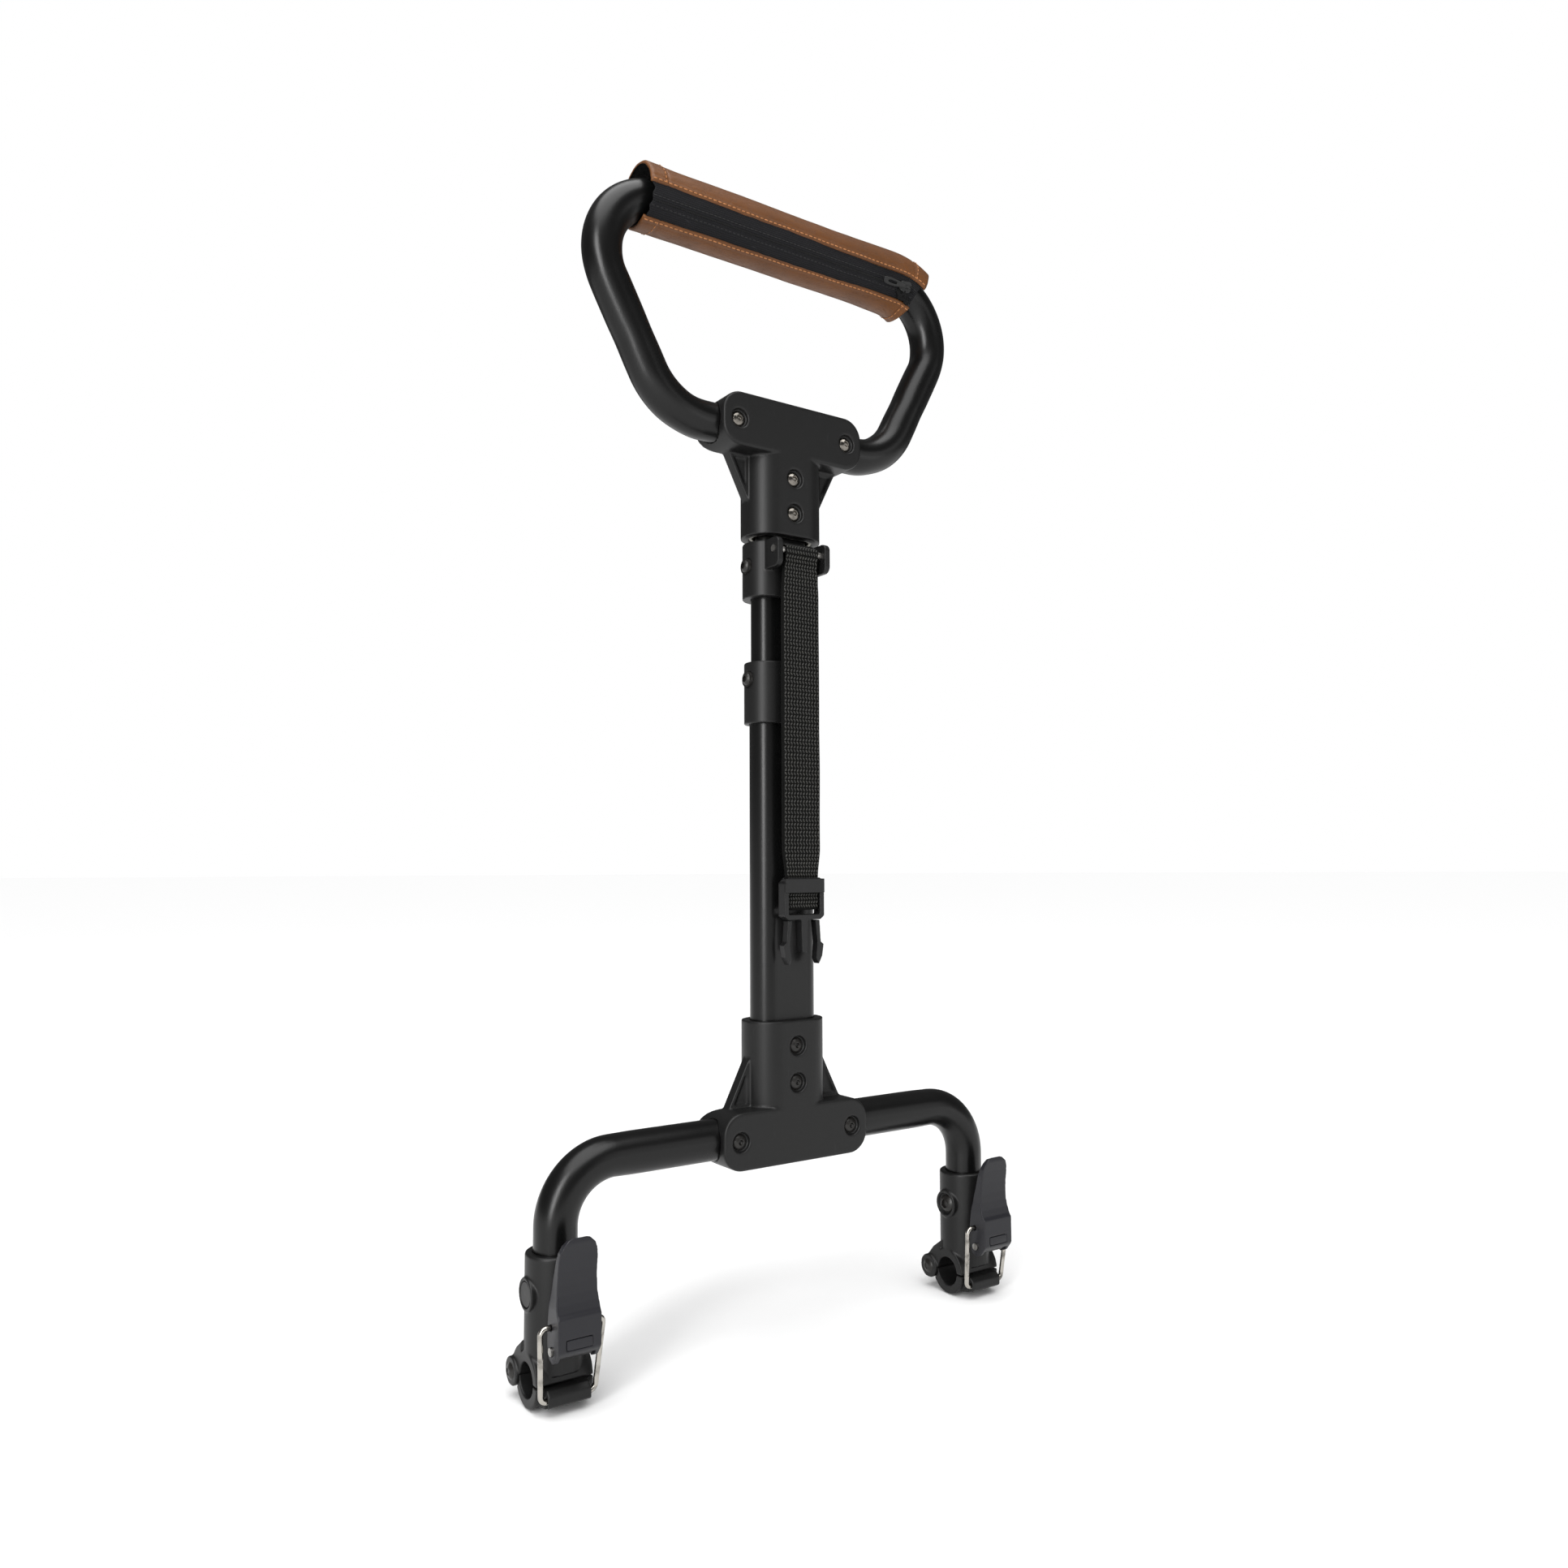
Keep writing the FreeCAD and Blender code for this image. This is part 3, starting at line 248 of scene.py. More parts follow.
def bright_metal(name, colour, rough, streak, dull):
    """Drawn or plated metal: fine streaks, dull patches."""
    make = Finish(name)
    where = make.place()
    streaks = make.grain(make.place((1, 1, 0.06)), streak, 4.0, 0.7)
    patches = make.grain(where, 190, 3.0).between(0.42, 0.72)
    tone = make.blend(patches, colour, tuple(c * dull for c in colour[:3]) + (1,))
    roughness = rough + streaks * 0.14 + patches * 0.1
    return make.shade(tone, roughness, make.relief(streaks, 0.00002, 0.6), metallic=1.0)


def wire_steel():
    return bright_metal("wire_steel", (0.42, 0.4, 0.365, 1), 0.14, 2600, 0.4)


def nickel():
    return bright_metal("nickel_plate", (0.2, 0.185, 0.165, 1), 0.1, 900, 0.45)


def turned_pin():
    return bright_metal("turned_pin", (0.4, 0.39, 0.37, 1), 0.26, 1800, 0.6)


def black_oxide():
    """Black oxide screws, slightly brown at the worn edges."""
    make = Finish("black_oxide")
    where = make.place()
    patches = make.grain(where, 600, 3.0)
    tone = make.blend(patches, grey(0.006), (0.02, 0.018, 0.016, 1))
    bump = make.relief(make.grain(where, 2800), 0.00003, 0.5)
    return make.shade(tone, 0.28 + patches * 0.16, bump, metallic=0.35)


def cut_metal():
    """Saw-cut aluminium: circular saw lines, oxide tint."""
    make = Finish("cut_metal")
    saw = make.grain(make.place((1, 0.1, 1), (0, 0, 0.7)), 1700, 3.0, 0.7)
    patches = make.grain(make.place(), 260, 3.0)
    tone = make.blend(patches, (0.5, 0.49, 0.43, 1), (0.26, 0.25, 0.21, 1))
    return make.shade(tone, 0.3 + saw * 0.25, make.relief(saw, 0.00006, 0.8), metallic=0.9)


def leatherette():
    """Brown leatherette: pebbled grain, creases, waxy sheen, darker handled areas, and painted shade in the
    pebble hollows and crease grooves.
    """
    make = Finish("leatherette")
    where = make.place()
    drift = make.grain(where, 90, 3.0)
    pebble = make.cells(where, 1150, "SMOOTH_F1")
    pores = make.grain(where, 2400, 3.0)
    crease = make.grain(make.place((0.35, 1, 1)), 210, 5.0, 0.65)
    line = 1 - (crease - 0.5).absolute().between(0.0, 0.035)
    handled = make.grain(where, 26, 2.0).between(0.4, 0.75)
    tone = make.blend(drift, (0.135, 0.052, 0.016, 1), (0.098, 0.037, 0.0115, 1))
    tone = make.blend(handled * 0.35, tone, (0.06, 0.024, 0.009, 1))
    # painted shade: the colour darkens in the sunk pebble hollows and along the sunk crease lines
    tone = make.blend((1 - pebble.between(0.1, 0.5)) * 0.18 + line * 0.22, tone, (0.04, 0.017, 0.009, 1))
    bump = make.relief(pebble + pores * 0.35, 0.00012, 0.42)
    bump = make.relief(1 - line, 0.00022, 0.3, bump)
    return make.shade(tone, 0.36 + drift * 0.12 + line * 0.1, bump, specular_ior_level=0.22)


def lining_cloth():
    """Black knitted lining inside the cover."""
    make = Finish("lining_cloth")
    where = make.place((1, 1, 1), (0.2, 0.5, 0.8))
    knit = make.cells(where, 1500)
    fuzz = make.grain(where, 900, 4.0, 0.7)
    tone = make.blend(fuzz, grey(0.002), grey(0.008))
    return make.shade(
        tone, 0.85 + knit * 0.1, make.relief(knit + fuzz, 0.0002, 0.8), specular_ior_level=0.2
    )


def foam_rubber():
    """Closed-cell foam with open pores at the cut ends, and painted shade darkening the sunk pores."""
    make = Finish("foam_rubber")
    where = make.place()
    pores = make.cells(where, 900)
    mottle = make.grain(where, 120, 3.0)
    # painted shade: darker in the middle of each sunk pore
    tone = make.blend(pores.between(0.1, 0.6), grey(0.002), grey(0.008))
    return make.shade(
        tone, 0.78 + mottle * 0.15, make.relief(pores, 0.0002, 0.7), specular_ior_level=0.2
    )


def tape_cloth():
    """Black woven zip tape: fine ribs along it, cross picks and a little lint; painted light and shade make
    the raised crests of the weave lighter and its grooves darker.
    """
    make = Finish("tape_cloth")
    place = make.add("ShaderNodeSeparateXYZ", None, {0: make.cloth()})
    along = make.wire(place, 0)
    across = make.wire(place, 1)
    ribs = (across * (math.tau / 0.00115)).sine() * 0.5 + 0.5
    picks = (along * (math.tau / 0.0008) + (across * (math.pi / 0.00115)).sine() * 2.2).sine() * 0.5 + 0.5
    fuzz = make.grain(make.place(), 1300, 4.0, 0.7)
    lint = make.grain(make.place((0.2, 1, 1)), 900, 2.0).between(0.7, 0.78)
    # painted light and shade: lighter where ribs and picks rise, darker in the grooves between them
    tone = make.blend(ribs * picks, grey(0.0016, 0.2), grey(0.014, 0.25))
    tone = make.blend(lint * 0.22, tone, grey(0.07, 0.1))
    bump = make.relief(ribs * 0.6 + picks * 0.4 + fuzz * 0.3, 0.0003, 0.9)
    return make.shade(tone, 0.7 + fuzz * 0.14, bump, specular_ior_level=0.22)


def webbing_ground():
    """The ground of the webbing between its raised yarns, coloured darker than the yarns as painted shade.
    """
    make = Finish("webbing_ground")
    fuzz = make.grain(make.place(), 1500, 4.0, 0.7)
    # painted shade: the ground is darker than the yarns that rise over it
    tone = make.blend(fuzz, grey(0.0012), (0.004, 0.004, 0.0035, 1))
    return make.shade(tone, 0.82 + fuzz * 0.1, make.relief(fuzz, 0.0002, 0.8), specular_ior_level=0.12)


def webbing_yarn():
    """Black polyester yarn with olive-grey filaments that catch the light."""
    make = Finish("webbing_yarn")
    where = make.place()
    strands = make.grain(make.place((1, 1, 1), (0, 0.9, 0)), 2600, 3.0, 0.7)
    speck = make.grain(where, 850, 3.0).between(0.5, 0.78)
    tone = make.blend(strands, grey(0.004), (0.02, 0.0195, 0.0165, 1))
    tone = make.blend(speck * 0.4, tone, (0.06, 0.058, 0.044, 1))
    bump = make.relief(strands, 0.00008, 0.7)
    return make.shade(tone, 0.4 + strands * 0.2, bump, specular_ior_level=0.4)


def seam_thread():
    """Twisted orange-brown sewing thread."""
    make = Finish("seam_thread")
    twist = make.grain(make.place((1, 1, 1), (0.5, 0.8, 0)), 4200, 2.0, 0.7)
    tone = make.blend(twist, (0.42, 0.17, 0.05, 1), (0.27, 0.1, 0.03, 1))
    return make.shade(tone, 0.5 + twist * 0.2, make.relief(twist, 0.00006, 0.8))


def dark_thread():
    """Black sewing thread."""
    make = Finish("dark_thread")
    twist = make.grain(make.place((1, 1, 1), (0.5, 0.8, 0)), 4200, 2.0, 0.7)
    tone = make.blend(twist, grey(0.004), grey(0.02))
    return make.shade(tone, 0.5 + twist * 0.2, make.relief(twist, 0.00006, 0.8))


def coil_nylon():
    """Black nylon monofilament of the zip's coil."""
    make = Finish("coil_nylon")
    mottle = make.grain(make.place(), 1800, 2.0)
    tone = make.blend(mottle, grey(0.0025), grey(0.007))
    return make.shade(
        tone, 0.4 + mottle * 0.16, make.relief(mottle, 0.00003, 0.4), specular_ior_level=0.22
    )


def slider_lacquer():
    """Black lacquered zinc with brighter worn edges."""
    make = Finish("slider_lacquer")
    where = make.place()
    worn = make.grain(where, 900, 4.0).between(0.62, 0.74)
    tone = make.blend(worn * 0.3, grey(0.005), grey(0.08))
    bump = make.relief(make.grain(where, 1600), 0.00004, 0.4)
    return make.shade(tone, 0.34 + worn * 0.15, bump, specular_ior_level=0.3)


FINISHES = {}


def finish(maker):
    """The material that a maker gives, made once."""
    if maker.__name__ not in FINISHES:
        FINISHES[maker.__name__] = maker()
    return FINISHES[maker.__name__]


# --------------------------------------------------------------------------- mesh toolkit
def new_piece(name, mesh):
    """Links a new object that holds the mesh, at the origin."""
    piece = bpy.data.objects.new(name, mesh)
    bpy.context.scene.collection.objects.link(piece)
    return piece


def smooth_faces(mesh, smooth=True):
    mesh.polygons.foreach_set("use_smooth", [smooth] * len(mesh.polygons))


def piece_from(name, vertices, faces, skin, smooth=True, outward=True):
    """A piece from plain lists, its doubles merged and its faces turned outwards."""
    mesh = bpy.data.meshes.new(name)
    mesh.from_pydata([tuple(v) for v in vertices], [], faces)
    work = bmesh.new()
    work.from_mesh(mesh)
    bmesh.ops.remove_doubles(work, verts=work.verts, dist=1e-7)
    if outward:
        bmesh.ops.recalc_face_normals(work, faces=work.faces)
    work.to_mesh(mesh)
    work.free()
    smooth_faces(mesh, smooth)
    mesh.materials.append(skin)
    return new_piece(name, mesh)


def settle(piece):
    """Applies the modifiers of a piece and leaves a plain mesh."""
    bpy.context.view_layer.update()
    graph = bpy.context.evaluated_depsgraph_get()
    mesh = bpy.data.meshes.new_from_object(piece.evaluated_get(graph))
    piece.modifiers.clear()
    piece.data = mesh
    mesh.name = piece.name
    return piece


def finished(piece, body, slot, *nodes):
    """Tells the frame which body a piece rides on and the solids it stands for; the slot is not used."""
    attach(piece, body)
    if nodes:
        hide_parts(*nodes)
    return piece


def softened(name, node, skin, voxel, passes):
    """A moulded piece with soft edges, from a merged copy of the frame's solid."""
    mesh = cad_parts[node].data.copy()
    mesh.materials.clear()
    mesh.materials.append(skin)
    work = bmesh.new()
    work.from_mesh(mesh)
    bmesh.ops.remove_doubles(work, verts=work.verts, dist=2e-6)
    work.to_mesh(mesh)
    work.free()
    piece = new_piece(name, mesh)
    remesh = piece.modifiers.new("remesh", "REMESH")
    remesh.mode = "VOXEL"
    remesh.voxel_size = voxel * MM
    remesh.use_smooth_shade = True
    relax = piece.modifiers.new("relax", "SMOOTH")
    relax.factor = 0.5
    relax.iterations = passes
    settle(piece)
    smooth_faces(piece.data)
    if not piece.data.materials:
        piece.data.materials.append(skin)
    return piece


def arc_path(corners, radii, per_degree=0.5):
    """Points along straight runs joined by arcs; corners in millimetres, result in metres."""
    corners = [Vector(c) * MM for c in corners]
    points = [corners[0]]
    for i in range(1, len(corners) - 1):
        back = (corners[i - 1] - corners[i]).normalized()
        ahead = (corners[i + 1] - corners[i]).normalized()
        half = back.angle(ahead) / 2
        radius = radii[i - 1] * MM
        centre = corners[i] + (back + ahead).normalized() * (radius / math.sin(half))
        first = corners[i] + back * (radius / math.tan(half)) - centre
        last = corners[i] + ahead * (radius / math.tan(half)) - centre
        sweep = first.angle(last)
        count = max(4, int(math.degrees(sweep) * per_degree))
        for k in range(count + 1):
            share = k / count
            weight = math.sin((1 - share) * sweep), math.sin(share * sweep)
            points.append(centre + (first * weight[0] + last * weight[1]) / math.sin(sweep))
    points.append(corners[-1])
    return points


def even_path(points, step):
    """The same path with the long runs divided into steps."""
    result = [points[0]]
    for a, b in zip(points, points[1:]):
        count = max(1, round((b - a).length / step))
        result += [a.lerp(b, k / count) for k in range(1, count + 1)]
    return result


def path_frames(points, side):
    """For each point, its tangent and two cross directions, the first near the given side."""
    frames = []
    for i in range(len(points)):
        ahead = points[min(i + 1, len(points) - 1)] - points[max(i - 1, 0)]
        tangent = ahead.normalized()
        across = (side - tangent * side.dot(tangent)).normalized()
        frames.append((tangent, across, tangent.cross(across)))
    return frames


def swept(points, outline, side, closed_ends=True):
    """Vertices and faces of an outline carried along a path.

    The outline is a function of the point's index that gives pairs across and up, in metres.
    """
    vertices = []
    faces = []
    for i, (point, (_, across, up)) in enumerate(zip(points, path_frames(points, side))):
        ring = outline(i)
        vertices += [point + across * a + up * b for a, b in ring]
    count = len(outline(0))
    for i in range(len(points) - 1):
        for k in range(count):
            n = (k + 1) % count
            faces.append((i * count + k, i * count + n, (i + 1) * count + n, (i + 1) * count + k))
    if closed_ends:
        faces.append(tuple(reversed(range(count))))
        faces.append(tuple((len(points) - 1) * count + k for k in range(count)))
    return vertices, faces


def round_outline(radius, count=48, squash=None):
    """A circle as an outline; squash gives for each index a factor pair across and up."""

    def outline(i):
        wide, tall = squash(i) if squash else (1, 1)
        return [
            (
                math.cos(math.tau * k / count) * radius * wide,
                math.sin(math.tau * k / count) * radius * tall,
            )
            for k in range(count)
        ]

    return outline


# --------------------------------------------------------------------------- geometry nodes
class Tree:
    """A geometry node tree under construction, with named inputs."""

    def __init__(self, name, inputs):
        self.tree = bpy.data.node_groups.new(name, "GeometryNodeTree")
        face = self.tree.interface
        self.keys = {}
        face.new_socket(name="Geometry", in_out="INPUT", socket_type="NodeSocketGeometry")
        for label, kind in inputs.items():
            socket = face.new_socket(name=label, in_out="INPUT", socket_type=f"NodeSocket{kind}")
            self.keys[label] = socket.identifier
        face.new_socket(name="Geometry", in_out="OUTPUT", socket_type="NodeSocketGeometry")
        self.entry = self.tree.nodes.new("NodeGroupInput")
        self.exit = self.tree.nodes.new("NodeGroupOutput")

    def given(self, label):
        return self.entry.outputs[label]

    def add(self, kind, settings=None, sockets=None):
        node = self.tree.nodes.new(kind)
        for name, value in (settings or {}).items():
            setattr(node, name, value)
        for key, value in (sockets or {}).items():
            if isinstance(value, bpy.types.NodeSocket):
                self.tree.links.new(value, node.inputs[key])
            else:
                node.inputs[key].default_value = value
        return node

    def close(self, instances):
        """Realize Instances and Set Material, then the output."""
        real = self.add("GeometryNodeRealizeInstances", None, {0: instances})
        skin = self.add(
            "GeometryNodeSetMaterial", None, {0: real.outputs[0], "Material": self.given("Material")}
        )
        self.tree.links.new(skin.outputs[0], self.exit.inputs[0])

    def grow(self, piece, **values):
        """Runs the tree on a piece and leaves a plain mesh."""
        modifier = piece.modifiers.new("grow", "NODES")
        modifier.node_group = self.tree
        for label, value in values.items():
            modifier[self.keys[label.replace("_", " ").capitalize()]] = value
        settle(piece)
        smooth_faces(piece.data)
        return piece


def stitch_tree():
    """Stitches spaced along the edges of a line, each tilted a little at random."""
    tree = Tree(
        "stitches",
        {"Pitch": "Float", "Length": "Float", "Thickness": "Float", "Tilt": "Float", "Material": "Material"},
    )
    curve = tree.add("GeometryNodeMeshToCurve", None, {0: tree.given("Geometry")})
    spaced = tree.add(
        "GeometryNodeResampleCurve",
        {"mode": "LENGTH"},
        {0: curve.outputs[0], "Length": tree.given("Pitch")},
    )
    ball = tree.add("GeometryNodeMeshUVSphere", None, {"Segments": 6, "Rings": 5, "Radius": 0.5})
    size = tree.add(
        "ShaderNodeCombineXYZ",
        None,
        {0: tree.given("Thickness"), 1: tree.given("Thickness"), 2: tree.given("Length")},
    )
    stitch = tree.add("GeometryNodeTransform", None, {0: ball.outputs[0], "Scale": size.outputs[0]})
    tangent = tree.add("GeometryNodeInputTangent")
    facing = tree.add("FunctionNodeAlignRotationToVector", {"axis": "Z"}, {"Vector": tangent.outputs[0]})
    low = tree.add("ShaderNodeMath", {"operation": "MULTIPLY"}, {0: tree.given("Tilt"), 1: -1.0})
    spin = tree.add(
        "FunctionNodeRandomValue",
        {"data_type": "FLOAT"},
        {2: low.outputs[0], 3: tree.given("Tilt"), "Seed": 7},
    )
    tilt = tree.add("ShaderNodeCombineXYZ", None, {0: spin.outputs[1], 1: spin.outputs[1]})
    tilted = tree.add(
        "FunctionNodeRotateRotation",
        {"rotation_space": "LOCAL"},
        {0: facing.outputs[0], 1: tilt.outputs[0]},
    )
    placed = tree.add(
        "GeometryNodeInstanceOnPoints",
        None,
        {0: spaced.outputs[0], "Instance": stitch.outputs[0], "Rotation": tilted.outputs[0]},
    )
    tree.close(placed.outputs[0])
    return tree


def yarn_tree():
    """One raised yarn on each face of a ribbon, slanting one way in even rows, back in odd."""
    tree = Tree(
        "yarns",
        {"Columns": "Int", "Slant": "Float", "Length": "Float", "Width": "Float", "Material": "Material"},
    )
    normal = tree.add("GeometryNodeInputNormal")
    index = tree.add("GeometryNodeInputIndex")
    kept = tree.add("GeometryNodeCaptureAttribute", {"domain": "FACE"}, {0: tree.given("Geometry")})
    kept.capture_items.new("VECTOR", "Facing")
    kept.capture_items.new("INT", "Order")
    tree.tree.links.new(normal.outputs[0], kept.inputs["Facing"])
    tree.tree.links.new(index.outputs[0], kept.inputs["Order"])
    points = tree.add("GeometryNodeMeshToPoints", {"mode": "FACES"}, {0: kept.outputs[0]})
    share = tree.add(
        "ShaderNodeMath", {"operation": "DIVIDE"}, {0: kept.outputs["Order"], 1: tree.given("Columns")}
    )
    row = tree.add("ShaderNodeMath", {"operation": "FLOOR"}, {0: share.outputs[0]})
    parity = tree.add("ShaderNodeMath", {"operation": "MODULO"}, {0: row.outputs[0], 1: 2.0})
    sign = tree.add("ShaderNodeMath", {"operation": "MULTIPLY_ADD"}, {0: parity.outputs[0], 1: 2.0, 2: -1.0})
    slant = tree.add(
        "ShaderNodeMath", {"operation": "MULTIPLY"}, {0: sign.outputs[0], 1: tree.given("Slant")}
    )
    jitter = tree.add(
        "FunctionNodeRandomValue", {"data_type": "FLOAT"}, {2: -0.09, 3: 0.09, "Seed": 11}
    )
    turn = tree.add("ShaderNodeMath", {"operation": "ADD"}, {0: slant.outputs[0], 1: jitter.outputs[1]})
    about = tree.add("ShaderNodeCombineXYZ", None, {2: turn.outputs[0]})
    upright = tree.add(
        "FunctionNodeAlignRotationToVector",
        {"axis": "Z", "pivot_axis": "X"},
        {"Vector": kept.outputs["Facing"]},
    )
    turned = tree.add(
        "FunctionNodeRotateRotation",
        {"rotation_space": "LOCAL"},
        {0: upright.outputs[0], 1: about.outputs[0]},
    )
    ball = tree.add("GeometryNodeMeshUVSphere", None, {"Segments": 6, "Rings": 4, "Radius": 0.5})
    size = tree.add(
        "ShaderNodeCombineXYZ",
        None,
        {0: tree.given("Length"), 1: tree.given("Width"), 2: tree.given("Width")},
    )
    yarn = tree.add("GeometryNodeTransform", None, {0: ball.outputs[0], "Scale": size.outputs[0]})
    placed = tree.add(
        "GeometryNodeInstanceOnPoints",
        None,
        {0: points.outputs[0], "Instance": yarn.outputs[0], "Rotation": turned.outputs[0]},
    )
    tree.close(placed.outputs[0])
    return tree


def copies_tree():
    """A template placed on every vertex, turned by the vertex's own turn."""
    tree = Tree("copies", {"Template": "Object", "Material": "Material"})
    template = tree.add("GeometryNodeObjectInfo", None, {0: tree.given("Template")})
    turn = tree.add("GeometryNodeInputNamedAttribute", {"data_type": "FLOAT_VECTOR"}, {0: "turn"})
    rotation = tree.add("FunctionNodeEulerToRotation", None, {0: turn.outputs[0]})
    placed = tree.add(
        "GeometryNodeInstanceOnPoints",
        None,
        {
            0: tree.given("Geometry"),
            "Instance": template.outputs["Geometry"],
            "Rotation": rotation.outputs[0],
        },
    )
    tree.close(placed.outputs[0])
    return tree


TREES = {}


def shared_tree(maker):
    """The node tree that a maker gives, made once."""
    if maker.__name__ not in TREES:
        TREES[maker.__name__] = maker()
    return TREES[maker.__name__]


def stitched(name, lines, pitch, length, thickness, tilt, skin):
    """Rows of stitches along lists of points."""
    vertices = []
    edges = []
    for line in lines:
        start = len(vertices)
        vertices += [tuple(point) for point in line]
        edges += [(start + i, start + i + 1) for i in range(len(line) - 1)]
    mesh = bpy.data.meshes.new(name)
    mesh.from_pydata(vertices, edges, [])
    piece = new_piece(name, mesh)
    return shared_tree(stitch_tree).grow(
        piece, pitch=pitch, length=length, thickness=thickness, tilt=tilt, material=skin
    )


def copied(name, template, places, skin):
    """A template at every place; a place is a point and a direction for the template's Z."""
    mesh = bpy.data.meshes.new(name)
    mesh.from_pydata([tuple(point) for point, _ in places], [], [])
    turns = mesh.attributes.new("turn", "FLOAT_VECTOR", "POINT")
    for i, (_, direction) in enumerate(places):
        turns.data[i].vector = Vector(direction).to_track_quat("Z", "Y").to_euler()
    piece = new_piece(name, mesh)
    shared_tree(copies_tree).grow(piece, template=template, material=skin)
    bpy.data.objects.remove(template)
    return piece


# --------------------------------------------------------------------------- settings
class HandleSettings(bpy.types.PropertyGroup):
    """Sizes of the soft and wire pieces that a user may want to change."""

    webbing_columns: bpy.props.IntProperty(
        name="Webbing columns", description="Raised yarns across the strap", default=12, min=6, max=30
    )
    webbing_pitch: bpy.props.FloatProperty(
        name="Webbing pitch",
        description="Distance between rows of yarns along the strap",
        default=0.0021,
        unit="LENGTH",
    )
    webbing_thickness: bpy.props.FloatProperty(
        name="Webbing thickness",
        description="Thickness of one layer of webbing",
        default=0.0011,
        unit="LENGTH",
    )
    stitch_pitch: bpy.props.FloatProperty(
        name="Stitch pitch", description="Distance between stitches", default=0.0031, unit="LENGTH"
    )
    leather_thickness: bpy.props.FloatProperty(
        name="Leather thickness", description="Thickness of the grip cover", default=0.0011, unit="LENGTH"
    )
    wire_radius: bpy.props.FloatProperty(
        name="Bail wire radius", description="Radius of the bails' wire", default=0.0014, unit="LENGTH"
    )


class StageSettings(bpy.types.PropertyGroup):
    """The floor, the lights and the camera."""

    floor_colour: bpy.props.FloatVectorProperty(
        name="Floor colour",
        description="Colour of the floor",
        subtype="COLOR",
        size=3,
        default=(0.86, 0.86, 0.86),
    )
    air_strength: bpy.props.FloatProperty(
        name="Surrounding light", description="Strength of the light from all round", default=0.12
    )
    key_power: bpy.props.FloatProperty(
        name="Key power", description="Power of the tall soft light at the left", default=52.0, unit="POWER"
    )
    fill_power: bpy.props.FloatProperty(
        name="Fill power", description="Power of the wide soft light at the right", default=8.0, unit="POWER"
    )
    overhead_power: bpy.props.FloatProperty(
        name="Overhead strength", description="Strength of the wide light overhead", default=3.6
    )
    lens: bpy.props.FloatProperty(
        name="Lens", description="Focal length on a 36 mm sensor", default=27.49, unit="CAMERA"
    )


# --------------------------------------------------------------------------- stage
CAMERA_PLACE = Vector((-0.391687, -0.571293, 0.249586))
CAMERA_YAW = 0.603295
CAMERA_PITCH = 0.070526
CAMERA_ROLL = -0.0042686


def camera_matrix():
    """Level yaw from +Y towards +X, then pitch, then roll."""
    ahead = Vector(
        (
            math.sin(CAMERA_YAW) * math.cos(CAMERA_PITCH),
            math.cos(CAMERA_YAW) * math.cos(CAMERA_PITCH),
            math.sin(CAMERA_PITCH),
        )
    )
    right = Vector((math.cos(CAMERA_YAW), -math.sin(CAMERA_YAW), 0))
    up = right.cross(ahead)
    across = right * math.cos(CAMERA_ROLL) + up * math.sin(CAMERA_ROLL)
    upright = up * math.cos(CAMERA_ROLL) - right * math.sin(CAMERA_ROLL)
    turn = Matrix((across, upright, -ahead)).transposed().to_4x4()
    return Matrix.Translation(CAMERA_PLACE) @ turn


def soft_light(name, place, target, width, height, power, colour=(1, 1, 1)):
    """A large rectangular light aimed at a point."""
    lamp = bpy.data.lights.new(name, "AREA")
    lamp.shape = "RECTANGLE"
    lamp.size = width
    lamp.size_y = height
    lamp.energy = power
    lamp.color = colour
    light = bpy.data.objects.new(name, lamp)
    bpy.context.scene.collection.objects.link(light)
    light.location = place
    light.rotation_euler = (Vector(target) - Vector(place)).to_track_quat("-Z", "Y").to_euler()
    return light


def floor_mesh(low):
    """A wide round floor."""
    count = 96
    vertices = [(0, 0, low)]
    for k in range(count):
        angle = math.tau * k / count
        vertices.append((math.cos(angle) * 60, math.sin(angle) * 60, low))
    faces = [(0, 1 + k, 1 + (k + 1) % count) for k in range(count)]
    return vertices, faces


def studio_air(strength):
    """Plain white surroundings, dimmer as a light than they look."""
    world = bpy.data.worlds.new("studio_air")
    world.use_nodes = True
    nodes = world.node_tree.nodes
    seen = nodes.new("ShaderNodeLightPath")
    level = nodes.new("ShaderNodeMapRange")
    level.inputs["To Min"].default_value = strength
    level.inputs["To Max"].default_value = 1.0
    world.node_tree.links.new(seen.outputs["Is Camera Ray"], level.inputs["Value"])
    world.node_tree.links.new(level.outputs[0], nodes["Background"].inputs["Strength"])
    nodes["Background"].inputs["Color"].default_value = (1, 1, 1, 1)
    return world


def floor_finish(colour):
    """Pale seamless paper with a faint tooth."""
    make = Finish("stage_paper")
    where = make.place()
    tooth = make.grain(where, 60, 4.0)
    base = tuple(colour) + (1,)
    tone = make.blend(tooth, base, tuple(c * 0.985 for c in colour) + (1,))
    return make.shade(tone, 0.9, make.relief(tooth, 0.0002, 0.15))


